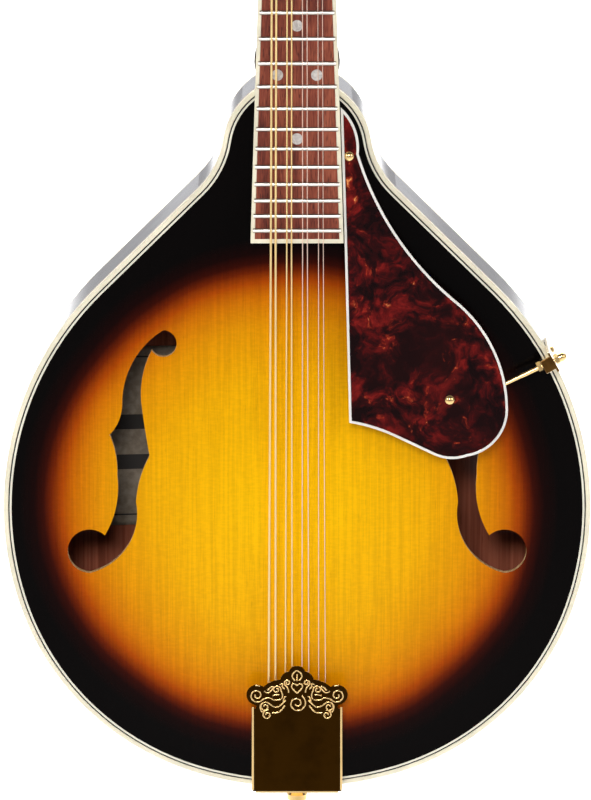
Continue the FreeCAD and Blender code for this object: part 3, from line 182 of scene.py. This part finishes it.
def burst_inset(surface):
    """How far a point lies inside the sunburst's dark edge, in millimetres."""
    x, _, z = surface.axes()
    side = surface.math("ABSOLUTE", x)
    across = surface.minus(x, BURST_CENTRE[0])
    rise = surface.minus(z, BURST_CENTRE[1])
    squares = surface.plus(surface.times(across, across), surface.times(rise, rise))
    from_centre = surface.math("SQRT", squares)
    round_part = surface.minus(BURST_REACH, from_centre)
    flank_x = surface.times(surface.minus(FLANK_POINT[0], side), FLANK_NORMAL[0])
    flank_z = surface.times(surface.minus(FLANK_POINT[1], z), FLANK_NORMAL[1])
    flank = surface.plus(flank_x, flank_z)
    neck_end = surface.minus(BURST_NECK_END, z)
    lower = surface.math("SMOOTH_MIN", round_part, flank, BURST_SOFTNESS)
    inset = surface.math("SMOOTH_MIN", lower, neck_end, BURST_SOFTNESS)
    wander = surface.span(surface.noise(9.0, 2.0), 0.3, 0.7, -BURST_WANDER, BURST_WANDER)
    return surface.plus(inset, wander)


def wood_grain(surface, lines, pores):
    """Light and dark year lines along Z, from -1 to 1, and small pores from 0 to 1."""
    broad = surface.noise(lines, 3.0, (1.0, 0.3, 0.012), 0.3)
    fine = surface.noise(lines * 3.1, 2.0, (1.0, 0.3, 0.02))
    broad = surface.span(broad, 0.3, 0.7, -0.65, 0.65)
    fine = surface.span(fine, 0.3, 0.7, -0.35, 0.35)
    flecks = surface.span(surface.noise(pores, 2.0, (1.0, 1.0, 0.09)), 0.62, 0.74)
    return surface.plus(broad, fine), flecks


SPRUCE_DARK = (0.52, 0.30, 0.12)
SPRUCE_LIGHT = (0.78, 0.55, 0.29)


def spruce_top():
    """Vintage sunburst over spruce, with raw wood on the sound holes' walls and inside."""
    surface = Surface("top_sunburst", (0.6, 0.3, 0.01), 0.2, Specular_IOR_Level=0.06)
    inset = surface.math("DIVIDE", burst_inset(surface), BURST_SPAN)
    lacquer = surface.ramp(inset, [(place / BURST_SPAN, colour) for place, colour in BURST_COLOURS])
    grain, flecks = wood_grain(surface, 900.0, 1700.0)
    shade = surface.span(grain, -0.7, 0.7, 0.90, 1.05)
    silk = surface.span(surface.noise(1100.0, 2.0, (0.25, 1.0, 1.0)), 0.35, 0.68, 0.95, 1.03)
    shade = surface.times(shade, silk)
    shade = surface.times(shade, surface.minus(1.0, surface.times(flecks, 0.12)))
    grey = surface.add("CombineColor", {0: shade, 1: shade, 2: shade}).outputs[0]
    shaded = surface.mix(1.0, lacquer, grey, "MULTIPLY")
    raw = surface.ramp(surface.span(grain, -0.8, 0.8), [(0.0, SPRUCE_DARK), (1.0, SPRUCE_LIGHT)])
    outside = surface.math("LESS_THAN", surface.facing()[1], -0.4)
    surface.feed("Base Color", surface.mix(outside, raw, shaded))
    surface.feed("Roughness", surface.mix(outside, (0.7, 0.7, 0.7), (0.17, 0.17, 0.17)))
    surface.bump(grain, 0.000012, 0.6)
    return surface


def darker(colour, share):
    return tuple(share * part for part in colour)


def mahogany(name, dark, light, burst=False, raw_inside=None, coat=0.25):
    """Dark stained mahogany under gloss, with long pores. A burst darkens its edge.

    raw_inside is a test for the outer face and two colours for the bare wood elsewhere.
    """
    surface = Surface(name, dark, 0.16, Coat_Weight=coat, Coat_Roughness=0.05, Specular_IOR_Level=0.2)
    grain, flecks = wood_grain(surface, 260.0, 900.0)
    ripple = surface.noise(34.0, 3.0, (1.0, 1.0, 0.35), 0.8)
    grain = surface.span(grain, -0.8, 0.8, 0.0, 0.7)
    tone = surface.plus(grain, surface.span(ripple, 0.3, 0.7, 0.0, 0.3))
    stain = surface.ramp(tone, [(0.0, dark), (1.0, light)])
    stain = surface.mix(surface.times(flecks, 0.65), stain, darker(dark, 0.25))
    if burst:
        edge = surface.span(burst_inset(surface), *BACK_BURST)
        stain = surface.mix(edge, (0.004, 0.0018, 0.0014), stain)
    if raw_inside is not None:
        outside, raw_dark, raw_light = raw_inside
        inner_wood = surface.ramp(tone, [(0.0, raw_dark), (1.0, raw_light)])
        inner_wood = surface.mix(surface.times(flecks, 0.4), inner_wood, darker(raw_dark, 0.4))
        stain = surface.mix(outside(surface), inner_wood, stain)
    surface.feed("Base Color", stain)
    surface.worn_gloss(0.13, 0.22, 40.0)
    surface.bump(flecks, 0.00002, 0.35)
    return surface


RAW_DARK = (0.20, 0.052, 0.028)
RAW_LIGHT = (0.42, 0.125, 0.070)


def rear_is_outside(surface):
    """1 where a face looks to the rear, which is the back plate's outer side."""
    return surface.math("GREATER_THAN", surface.facing()[1], 0.1)


def rim_is_outside(surface):
    """1 on the rim's outer face, whose normal points away from the middle of the body."""
    x, _, z = surface.axes()
    normal_x, _, normal_z = surface.facing()
    rise = surface.minus(z, BODY_MIDDLE)
    outward = surface.plus(surface.times(x, normal_x), surface.times(rise, normal_z))
    return surface.math("GREATER_THAN", outward, 0.0)


def raw_wood(name, dark, light):
    """Bare planed wood, as it is left inside the body."""
    surface = Surface(name, light, 0.7)
    grain, flecks = wood_grain(surface, 420.0, 1200.0)
    tone = surface.span(grain, -0.8, 0.8)
    surface.feed("Base Color", surface.mix(
        surface.times(flecks, 0.3), surface.ramp(tone, [(0.0, dark), (1.0, light)]), dark))
    surface.bump(grain, 0.00004, 0.5)
    return surface


def rosewood(name):
    """Oiled reddish-brown rosewood with open pores and darker streaks."""
    surface = Surface(name, (0.2, 0.05, 0.035), 0.5, Specular_IOR_Level=0.15)
    streaks = surface.noise(210.0, 4.0, (1.0, 1.0, 0.05), 0.5)
    fibre = surface.noise(1700.0, 3.0, (1.0, 1.0, 0.06))
    tone = surface.plus(surface.times(streaks, 0.6), surface.times(fibre, 0.4))
    colour = surface.ramp(tone, [
        (0.36, (0.088, 0.018, 0.012)), (0.47, (0.185, 0.038, 0.021)),
        (0.56, (0.265, 0.064, 0.034)), (0.68, (0.350, 0.100, 0.053))])
    pores = surface.span(surface.noise(2300.0, 1.0, (1.0, 1.0, 0.045)), 0.61, 0.68)
    surface.feed("Base Color", surface.mix(surface.times(pores, 0.7), colour, (0.035, 0.009, 0.008)))
    surface.feed("Roughness", surface.span(fibre, 0.3, 0.7, 0.42, 0.6))
    surface.bump(surface.minus(1.0, pores), 0.00008, 0.6)
    return surface


# ---------------------------------------------------------------- plastic, bone and pearl

def plastic(name, colour, roughness=0.22, mottle=0.05):
    """Polished plastic or bone whose colour is slightly uneven."""
    surface = Surface(name, colour, roughness, Subsurface_Weight=0.04, Subsurface_Scale=0.001)
    deep = darker(colour, 1.0 - 3.0 * mottle)
    tint = surface.span(surface.noise(70.0, 4.0), 0.3, 0.7)
    surface.feed("Base Color", surface.mix(tint, deep, colour))
    surface.worn_gloss(roughness * 0.8, roughness * 1.5, 120.0)
    surface.bump(surface.noise(900.0, 2.0), 0.00001, 0.4)
    return surface


def tortoiseshell():
    """Dark celluloid with red clouds and small amber sparks, under a hard polish."""
    surface = Surface("tortoiseshell", (0.03, 0.004, 0.004), 0.1, Specular_IOR_Level=0.12)
    point = surface.point()
    drift = surface.add("TexNoise", {"Vector": point, "Scale": 42.0, "Detail": 3.0}).outputs["Color"]
    bent = surface.add("VectorMath", {0: drift, 1: (0.5, 0.5, 0.5)}, operation="SUBTRACT").outputs[0]
    bent = surface.add("VectorMath", {0: bent, "Scale": 0.034}, operation="SCALE").outputs[0]
    place = surface.add("VectorMath", {0: point, 1: bent}, operation="ADD").outputs[0]
    clouds = surface.noise(92.0, 6.0, roughness=0.62, place=place)
    wisps = surface.noise(170.0, 5.0, roughness=0.6, place=place)
    zones = surface.span(surface.noise(21.0, 2.0), 0.30, 0.52)
    body = surface.ramp(clouds, [
        (0.41, (0.0065, 0.0013, 0.0016)), (0.49, (0.024, 0.0024, 0.0028)),
        (0.56, (0.080, 0.0040, 0.0040)), (0.66, (0.200, 0.010, 0.008))])
    body = surface.mix(zones, (0.014, 0.0020, 0.0020), body)
    glow = surface.times(surface.span(wisps, 0.55, 0.68), surface.span(clouds, 0.49, 0.61))
    body = surface.mix(surface.times(glow, 0.8), body, (0.40, 0.036, 0.013))
    sparks = surface.times(surface.span(wisps, 0.63, 0.72), surface.span(clouds, 0.53, 0.63))
    surface.feed("Base Color", surface.mix(sparks, body, (0.95, 0.42, 0.13)))
    surface.worn_gloss(0.07, 0.13, 80.0)
    return surface


def pearl(name, light, shade, scale=260.0):
    """Pearly plastic: soft cloudy swirls."""
    surface = Surface(name, light, 0.2, Coat_Weight=0.4)
    swirl = surface.noise(scale, 3.0, (1.0, 1.0, 1.0), 2.2)
    swirl = surface.span(swirl, 0.32, 0.68)
    surface.feed("Base Color", surface.ramp(swirl, [(0.0, shade), (1.0, light)]))
    surface.worn_gloss(0.14, 0.26, 200.0)
    return surface


# ---------------------------------------------------------------- metal

def metal(name, colour, roughness, brush=0.05, tarnish=None, tarnish_share=0.3, metallic=1.0):
    """Plated or drawn metal with fine wiping marks and a little tarnish."""
    surface = Surface(name, colour, roughness, metallic)
    smudge = surface.noise(90.0, 4.0)
    scratches = surface.noise(1400.0, 2.0, (1.0, 0.4, 0.12))
    if tarnish is not None:
        share = surface.span(smudge, 0.46, 0.72, 0.0, tarnish_share)
        surface.feed("Base Color", surface.mix(share, colour, tarnish))
    wear = surface.plus(surface.times(smudge, brush), surface.times(scratches, brush))
    surface.feed("Roughness", surface.plus(wear, max(roughness - brush, 0.01)))
    surface.bump(scratches, 0.000004, 0.4)
    return surface


GOLD = (0.90, 0.62, 0.27)
GOLD_SHADE = (0.62, 0.36, 0.11)


def painted_mirror_gold(name, clear, smudged):
    """Polished gold, painted dark where it faces the front as a painted reflection of a dark room, and painted
    paler on its other faces as a painted highlight on the edges.
    """
    surface = Surface(name, GOLD, 0.12, 1.0)
    front_reflection_share = surface.span(surface.facing()[1], -0.97, -0.75, 1.0, 0.0)
    smudge = surface.span(surface.noise(90.0, 4.0), 0.4, 0.7)
    # The front is painted dark, between the clear and smudged colours, as a painted reflection; every other face
    # takes a paler gold as a painted highlight.
    front = surface.mix(smudge, clear, smudged)
    surface.feed("Base Color", surface.mix(front_reflection_share, (1.0, 0.84, 0.56), front))
    surface.worn_gloss(0.10, 0.17, 150.0)
    return surface


def fret_metal():
    """Worn nickel silver: painted bright along the crown as a painted highlight and painted darker down its
    sides as painted shade.
    """
    surface = Surface("nickel_silver_painted_light", (0.8, 0.77, 0.70), 0.34, 1.0)
    crown = surface.span(surface.facing()[1], -0.97, -0.80, 1.0, 0.0)
    # Painted highlight where a fret faces the front, painted shade down its sides.
    surface.feed("Base Color", surface.mix(crown, (0.36, 0.30, 0.25), (0.92, 0.89, 0.82)))
    surface.worn_gloss(0.30, 0.42, 150.0)
    return surface


def wound_wire():
    """Bronze wire wound round a core: fine rings across the string, painted lighter on each ridge and darker in
    the grooves as painted shade.
    """
    surface = Surface("wound_wire", (0.85, 0.66, 0.30), 0.25, 0.6)
    rings = surface.add("TexWave", {"Vector": surface.point(), "Scale": 1250.0, "Distortion": 0.0},
                        bands_direction="Z").outputs["Fac"]
    # Each turn is painted lighter on its ridge and darker in the groove beside it, painted shade between the
    # turns.
    ridge_light_share = surface.span(rings, 0.0, 0.5)
    surface.feed("Base Color", surface.mix(ridge_light_share, (0.90, 0.62, 0.24), (1.0, 0.76, 0.36)))
    surface.worn_gloss(0.3, 0.42, 150.0)
    surface.bump(rings, 0.00003, 0.25)
    return surface


# ---------------------------------------------------------------- which finish each CAD node wears

CREAM = (0.86, 0.79, 0.60)
finishes = {
    "top_plate": spruce_top(),
    "back_plate": mahogany("back_mahogany", (0.020, 0.0048, 0.0028), (0.085, 0.020, 0.009), True,
                           (rear_is_outside, RAW_DARK, RAW_LIGHT), 0.0),
    "rim": mahogany("rim_mahogany", (0.010, 0.0035, 0.0030), (0.038, 0.011, 0.007), False,
                    (rim_is_outside, RAW_DARK, RAW_LIGHT), 0.9),
    "neck": mahogany("neck_mahogany", (0.012, 0.0035, 0.0025), (0.050, 0.014, 0.008)),
    "inner_wood": raw_wood("block_wood", (0.22, 0.10, 0.05), (0.42, 0.23, 0.12)),
    "linings": raw_wood("lining_wood", (0.30, 0.16, 0.08), (0.52, 0.33, 0.18)),
    "tone_bars": raw_wood("spruce_bars", (0.50, 0.32, 0.15), (0.74, 0.54, 0.30)),
    "fingerboard": rosewood("rosewood"),
    "binding": plastic("cream_binding", CREAM),
    "purfling_black": plastic("black_line", (0.006, 0.006, 0.006), 0.2),
    "purfling_white": plastic("white_line", (0.80, 0.76, 0.62), 0.2),
    "frets": fret_metal(),
    "markers": pearl("marker_pearl", (0.66, 0.62, 0.58), (0.42, 0.38, 0.36)),
    "nut": plastic("bone_nut", (0.82, 0.77, 0.64), 0.3, 0.07),
    "headstock_face": lacquered("headstock_lacquer", (0.004, 0.004, 0.004), 0.22),
    "truss_cover": lacquered("cover_plastic", (0.005, 0.005, 0.005), 0.14),
    "steel": metal("bright_steel", (0.62, 0.61, 0.60), 0.25, 0.08, (0.32, 0.29, 0.26)),
    "brass": metal("brass", (0.86, 0.62, 0.25), 0.28, 0.08, (0.45, 0.28, 0.10)),
    "gold": metal("gold_plate", GOLD, 0.14, 0.05, GOLD_SHADE),
    # The two colours given to the cover and the bracket are the dark painted reflection on their fronts.
    "gold_cover_painted_light": painted_mirror_gold("gold_cover_painted_light", (0.036, 0.0140, 0.0012), (0.026, 0.0100, 0.0009)),
    "gold_bracket_painted_light": painted_mirror_gold("gold_bracket_painted_light", (0.20, 0.095, 0.020), (0.12, 0.055, 0.012)),
    "tortoiseshell": tortoiseshell(),
    "guard_edge": plastic("white_edge", (0.83, 0.80, 0.74), 0.2),
    "support": plastic("guard_block", (0.008, 0.006, 0.005), 0.35),
    "wound": wound_wire(),
    "plain": metal("plain_steel", (0.95, 0.70, 0.57), 0.3, 0.05, (0.80, 0.52, 0.40), metallic=0.6),
    "buttons": pearl("button_pearl", (0.62, 0.57, 0.47), (0.42, 0.37, 0.30), 150.0),
}

wears = {
    "top_plate": "top_plate", "back_plate": "back_plate", "rim": "rim", "neck": "neck",
    "neck_block": "inner_wood", "tail_block": "inner_wood", "linings": "linings", "tone_bars": "tone_bars",
    "top_binding": "binding", "back_binding": "binding", "fingerboard_binding": "binding",
    "top_purfling_black": "purfling_black", "top_purfling_white": "purfling_white",
    "fingerboard": "fingerboard", "frets": "frets", "fret_markers": "markers", "nut": "nut",
    "headstock_overlay": "headstock_face", "truss_rod": "steel", "truss_rod_nut": "brass",
    "truss_rod_cover": "truss_cover", "headstock_screws": "gold", "body_screws": "gold",
    "tuner_bushings": "gold", "tuner_plates": "gold", "pickguard": "tortoiseshell",
    "pickguard_edge": "guard_edge", "pickguard_support": "support", "pickguard_bracket": "gold_bracket_painted_light",
    "pickguard_rod": "gold", "pickguard_nuts": "gold", "tailpiece_base": "gold",
    "tailpiece_cover": "gold_cover_painted_light", "end_pin": "gold", "wound_strings": "wound", "plain_strings": "plain"}
for number in range(1, 9):
    wears[f"worm_shaft_{number}"] = "gold"
    wears[f"string_post_{number}"] = "gold"
    wears[f"tuner_button_{number}"] = "buttons"


def dress(piece, finish):
    piece.data.materials.clear()
    piece.data.materials.append(finishes[finish].material)


for name, piece in nodes.items():
    dress(piece, wears[name])

# ---------------------------------------------------------------- soft edges on the CAD pieces

SOFT_EDGES = {
    "tailpiece_cover": 0.75, "tailpiece_base": 0.3, "top_binding": 0.5, "back_binding": 0.5, "nut": 0.4,
    "fingerboard_binding": 0.3, "pickguard_edge": 0.25, "pickguard_bracket": 0.3, "headstock_overlay": 0.3,
    "tuner_plates": 0.2, "truss_rod_cover": 0.3}


WELD_REACH = 0.002
SHARP_DEGREES = 50


def soften(piece, width):
    """Round off a piece's sharp edges by a width in millimetres."""
    weld = piece.modifiers.new("weld", "WELD")
    weld.merge_threshold = WELD_REACH * MM
    bevel = piece.modifiers.new("soft_edges", "BEVEL")
    bevel.width = width * MM
    bevel.segments = 3
    bevel.limit_method = "ANGLE"
    bevel.angle_limit = math.radians(SHARP_DEGREES)


for name, width in SOFT_EDGES.items():
    soften(nodes[name], width)


# ---------------------------------------------------------------- new pieces

def curve_piece(name, runs, radius, finish, body):
    """One object of round wires, each following its own points."""
    curve = bpy.data.curves.new(name, "CURVE")
    curve.dimensions = "3D"
    curve.bevel_depth = radius
    curve.bevel_resolution = 4
    curve.use_fill_caps = True
    for points in runs:
        spline = curve.splines.new("NURBS")
        spline.points.add(len(points) - 1)
        for place, point in zip(spline.points, points):
            place.co = (*point, 1.0)
        spline.order_u = 3
        spline.use_endpoint_u = True
    piece = bpy.data.objects.new(name, curve)
    bpy.context.scene.collection.objects.link(piece)
    dress(piece, finish)
    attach(piece, body)
    return piece


STRING_RADII = (0.50, 0.34, 0.22, 0.17)
POST_RADIUS = 3.0
STRING_LEVEL = 9.0
EYE_LEVEL = 11.0
WINDING_PLAY = 0.02
POINTS_PER_TURN = 16
# How far out from the post's axis the string's end lies as it runs through the eye, in radii.
THROUGH_EYE = (0.3, -0.6, -1.4)


def post_winding(number):
    """The turns of string round one post, from where the string meets it up to the post's eye."""
    joint = joints[f"post_turn_{number}"]
    centre = Vector(joint["pos_m"])
    forward = -Vector(joint["axis"]).normalized()
    across = Vector((1.0, 0.0, 0.0))
    up = across.cross(forward)
    up = up if up.z > 0 else -up
    treble = number > 4
    course = 3 - (number - 5) // 2 if treble else (number - 1) // 2
    radius = STRING_RADII[course]
    inward = -1.0 if treble else 1.0
    turns = max(1, round((EYE_LEVEL - STRING_LEVEL) / (2 * radius)))
    reach = POST_RADIUS + radius + WINDING_PLAY
    steps = POINTS_PER_TURN * turns + POINTS_PER_TURN // 2
    points = []
    for step in range(steps + 1):
        share = step / steps
        angle = 2 * math.pi * (turns + 0.5) * share
        level = STRING_LEVEL + (EYE_LEVEL - STRING_LEVEL) * share
        offset = across * inward * math.cos(angle) * reach + up * math.sin(angle) * reach
        points.append(centre + (offset + forward * level) * MM)
    for along in THROUGH_EYE:
        points.append(centre + (across * -inward * reach * along + forward * EYE_LEVEL) * MM)
    finish = "wound" if course < 2 else "plain"
    curve_piece(
        f"post_winding_{number}", [points], radius * MM, finish, f"post_{number}")


for number in range(1, 9):
    post_winding(number)


# ---------------------------------------------------------------- scrollwork on the tailpiece cover

cover_low, cover_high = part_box("tailpiece_cover")
CROWN_HEIGHT = 19.4
COVER_FRONT = cover_low.y / MM
COVER_FOOT = cover_low.z / MM
CROWN_FOOT = cover_high.z / MM - CROWN_HEIGHT
SCROLL_RADIUS = 0.36
SCROLL_POINTS = 14
ROLL_RADIUS = 0.55
ROLL_FROM_WIDEST = 2.9
ROLL_SINK = 0.25
ROLL_LIFT = 0.6


def spiral(x, up, outer, inner, start, turns):
    """Points of a spiral on the crown, from its outer end to its eye, in degrees and turns."""
    points = []
    steps = int(abs(turns) * SCROLL_POINTS)
    for step in range(steps + 1):
        share = step / steps
        radius = outer + (inner - outer) * share
        angle = math.radians(start + 360.0 * turns * share)
        points.append((x + radius * math.cos(angle), up + radius * math.sin(angle)))
    return points


SCROLLS = [
    spiral(18.3, 5.6, 3.5, 0.7, -150, 1.5),
    [(15.3, 3.9), (12.6, 4.9), (10.4, 3.0), (7.6, 3.6)],
    spiral(14.6, 0.2, 2.5, 0.6, 150, -1.4),
    [(12.5, 1.5), (9.8, -0.6), (7.0, 1.2), (5.2, 3.2)],
    spiral(9.3, 8.3, 2.1, 0.5, 200, -1.35),
    [(7.3, 7.6), (6.0, 5.8), (7.2, 3.9)],
    [(13.4, 7.9), (12.2, 9.6), (10.6, 9.9), (11.6, 7.9), (13.4, 6.4), (15.0, 7.6)],
    spiral(4.4, 11.5, 1.6, 0.4, -60, 1.3),
    [(5.2, 10.1), (3.6, 8.6), (3.9, 6.9)],
    [(0.0, 6.6), (2.0, 8.4), (2.7, 10.3), (1.3, 11.6), (0.0, 10.2)],
    [(1.0, 12.6), (2.6, 14.3), (1.6, 16.4), (0.0, 17.4)],
    [(8.2, 5.9), (9.6, 6.1), (11.2, 5.4)],
    [(16.9, 9.9), (17.9, 10.4), (19.0, 10.2)],
    spiral(13.6, -3.6, 2.3, 0.6, 100, -1.3),
    [(11.4, -2.6), (9.0, -2.9), (6.8, -1.2), (5.6, 0.8)],
    [(15.9, -2.4), (17.2, -0.6), (16.6, 1.4)],
    [(7.9, 10.6), (6.4, 11.8), (6.9, 9.4), (5.6, 8.6)],
    [(5.0, 5.2), (6.4, 4.4), (6.2, 2.4)]]
CENTRE_SCROLLS = [spiral(0.0, 1.8, 4.3, 0.8, 60, -1.6), [(0.0, 12.4), (0.0, 14.2), (0.0, 15.6)]]


def scrollwork():
    """Raised scrolls, the same on both sides of the crown's middle."""
    runs = []
    for points in SCROLLS:
        for side in (-1, 1):
            runs.append([Vector((side * x, COVER_FRONT, CROWN_FOOT + up)) * MM for x, up in points])
    for points in CENTRE_SCROLLS:
        runs.append([Vector((x, COVER_FRONT, CROWN_FOOT + up)) * MM for x, up in points])
    curve_piece("cover_scrollwork", runs, SCROLL_RADIUS * MM, "gold", "cover")


scrollwork()


def cover_rolls():
    """The rolled edges along both straight sides of the cover."""
    side = cover_high.x / MM - ROLL_FROM_WIDEST
    foot = COVER_FOOT + ROLL_LIFT
    runs = []
    for x in (-side, side):
        runs.append([Vector((x, COVER_FRONT + ROLL_SINK, foot + (CROWN_FOOT - foot) * share)) * MM
                     for share in (0.0, 0.02, 0.98, 1.0)])
    curve_piece("cover_rolls", runs, ROLL_RADIUS * MM, "gold", "cover")


cover_rolls()

# ---------------------------------------------------------------- the label inside

def grid_piece(name, columns, rows, at, finish, body, slot, thickness):
    """A sheet of quads whose corners are given by at(column share, row share)."""
    wide = columns + 1
    points = [at(column / columns, row / rows) for row in range(rows + 1) for column in range(wide)]
    faces = []
    for row in range(rows):
        for column in range(columns):
            corner = row * wide + column
            faces.append((corner, corner + 1, corner + wide + 1, corner + wide))
    mesh = bpy.data.meshes.new(name)
    mesh.from_pydata(points, [], faces)
    for polygon in mesh.polygons:
        polygon.use_smooth = True
    piece = bpy.data.objects.new(name, mesh)
    bpy.context.scene.collection.objects.link(piece)
    solid = piece.modifiers.new("thickness", "SOLIDIFY")
    solid.thickness = thickness
    solid.offset = 0.0
    dress(piece, finish)
    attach(piece, body)
    return piece


LABEL_MIDDLE = (-74.0, 168.0)
LABEL_SIZE = (62.0, 85.0)
LABEL_QUADS = (24, 32)
LABEL_MARGIN = 5.0
LABEL_LIFT = 0.25
LABEL_THICKNESS = 0.2
LINE_HALF = 0.35
BAND_MIDDLE = 165.0
BAND_SPREAD = 9.5
BAND_HALF = 3.5


def label_paper():
    """Aged paper with a thin printed border and two plain dark bands."""
    surface = Surface("label_paper", (0.5, 0.42, 0.32), 0.8)
    x, _, z = surface.axes()
    across = surface.math("ABSOLUTE", surface.minus(x, LABEL_MIDDLE[0]))
    along = surface.math("ABSOLUTE", surface.minus(z, LABEL_MIDDLE[1]))
    fibres = surface.span(surface.noise(300.0, 5.0), 0.3, 0.7)
    paper = surface.ramp(fibres, [(0.0, (0.22, 0.17, 0.12)), (1.0, (0.34, 0.28, 0.21))])
    edge = surface.math("MAXIMUM", surface.minus(across, LABEL_SIZE[0] / 2 - LABEL_MARGIN),
                        surface.minus(along, LABEL_SIZE[1] / 2 - LABEL_MARGIN))
    line = surface.math("LESS_THAN", surface.math("ABSOLUTE", edge), LINE_HALF)
    from_bands = surface.math("ABSOLUTE", surface.minus(z, BAND_MIDDLE))
    from_band = surface.math("ABSOLUTE", surface.minus(from_bands, BAND_SPREAD))
    band = surface.math("LESS_THAN", from_band, BAND_HALF)
    ink = surface.math("MAXIMUM", line, band)
    surface.feed("Base Color", surface.mix(ink, paper, (0.03, 0.025, 0.022)))
    surface.bump(fibres, 0.00005, 0.5)
    return surface


finishes["label"] = label_paper()


def inner_label():
    """A paper label glued to the inside of the back, under the bass sound hole."""
    back = BVHTree.FromObject(nodes["back_plate"], bpy.context.evaluated_depsgraph_get())

    def at(column, row):
        x = (LABEL_MIDDLE[0] + (column - 0.5) * LABEL_SIZE[0]) * MM
        z = (LABEL_MIDDLE[1] + (row - 0.5) * LABEL_SIZE[1]) * MM
        hit = back.ray_cast(Vector((x, 0.0, z)), Vector((0.0, 1.0, 0.0)))[0]
        return (x, hit.y - LABEL_LIFT * MM, z)

    grid_piece("inner_label", *LABEL_QUADS, at, "label", "instrument", "inner_wood", LABEL_THICKNESS * MM)


inner_label()

# ---------------------------------------------------------------- camera, light and floor

TARGET = Vector((-0.7, -18.5, 193.6)) * MM
CAMERA_DISTANCE = 2.5
CAMERA_TILT = math.radians(12.5)
VIEW_HEIGHT = 0.363
SENSOR_HEIGHT = 24.0
FLOOR_LEVEL = -0.4
FLOOR_REACH = 30
DIM_UNTIL, PALE_FROM = -0.25, 0.35
FRONT_GLOW, BACK_GLOW = 0.13, 0.8


def look_at(item, place, target):
    item.location = place
    item.rotation_mode = "QUATERNION"
    item.rotation_quaternion = (target - place).to_track_quat("-Z", "Y")


def make_camera():
    lens = bpy.data.cameras.new("camera")
    lens.sensor_fit = "VERTICAL"
    lens.sensor_height = SENSOR_HEIGHT
    lens.lens = SENSOR_HEIGHT * CAMERA_DISTANCE / VIEW_HEIGHT
    lens.clip_start = 0.05
    lens.clip_end = 50.0
    camera = bpy.data.objects.new("camera", lens)
    bpy.context.scene.collection.objects.link(camera)
    toward = Vector((0.0, -math.cos(CAMERA_TILT), math.sin(CAMERA_TILT)))
    look_at(camera, TARGET + toward * CAMERA_DISTANCE, TARGET)
    bpy.context.scene.camera = camera


def area_light(name, place, target, size, power, spread):
    light = bpy.data.lights.new(name, "AREA")
    light.spread = math.radians(spread)
    light.shape = "RECTANGLE"
    light.size, light.size_y = size
    light.energy = power
    lamp = bpy.data.objects.new(name, light)
    bpy.context.scene.collection.objects.link(lamp)
    look_at(lamp, Vector(place), Vector(target))


def make_floor():
    far = FLOOR_REACH
    corners = [(x, y, FLOOR_LEVEL) for x, y in ((-far, -far), (far, -far), (far, far), (-far, far))]
    mesh = bpy.data.meshes.new("floor")
    mesh.from_pydata(corners, [], [(0, 1, 2, 3)])
    floor = bpy.data.objects.new("floor", mesh)
    bpy.context.scene.collection.objects.link(floor)
    surface = Surface("floor_paint", (0.93, 0.93, 0.93), 0.9)
    surface.feed("Base Color", surface.ramp(surface.span(surface.noise(0.8, 2.0), 0.3, 0.7), [
        (0.0, (0.92, 0.92, 0.92)), (1.0, (0.95, 0.95, 0.95))]))
    mesh.materials.append(surface.material)


def pale_studio():
    """Surroundings that are dim in front of the instrument and pale behind and beside it."""
    world = bpy.data.worlds.new("studio")
    world.use_nodes = True
    tree = world.node_tree
    place = tree.nodes.new("ShaderNodeTexCoord")
    parts = tree.nodes.new("ShaderNodeSeparateXYZ")
    glow = tree.nodes.new("ShaderNodeMapRange")
    glow.interpolation_type = "SMOOTHSTEP"
    for key, value in ((1, DIM_UNTIL), (2, PALE_FROM), (3, FRONT_GLOW), (4, BACK_GLOW)):
        glow.inputs[key].default_value = value
    tree.links.new(place.outputs["Generated"], parts.inputs[0])
    tree.links.new(parts.outputs["Y"], glow.inputs[0])
    tree.links.new(glow.outputs[0], tree.nodes["Background"].inputs["Strength"])
    tree.nodes["Background"].inputs["Color"].default_value = (0.95, 0.96, 1.0, 1.0)
    return world


def make_lights():
    area_light("left_softbox", (-2.2, -1.8, 1.2), (0, 0, 0.2), (1.4, 1.4), 3.7, 70)
    area_light("right_softbox", (2.2, -1.8, 1.2), (0, 0, 0.2), (1.4, 1.4), 3.4, 70)
    area_light("front_softbox", (-0.3, -2.9, 1.45), (0, 0, 0.2), (0.9, 0.6), 3.5, 50)
    area_light("back_softbox", (0, 2.4, 1.8), (0, 0, 0.2), (1.8, 1.2), 9, 90)
    area_light("back_wash", (0, 3.4, 3.2), (0, 3.6, -0.4), (6.0, 4.0), 420, 150)
    bpy.context.scene.world = pale_studio()
    bpy.context.scene.view_settings.view_transform = "Standard"


make_camera()
make_floor()
make_lights()
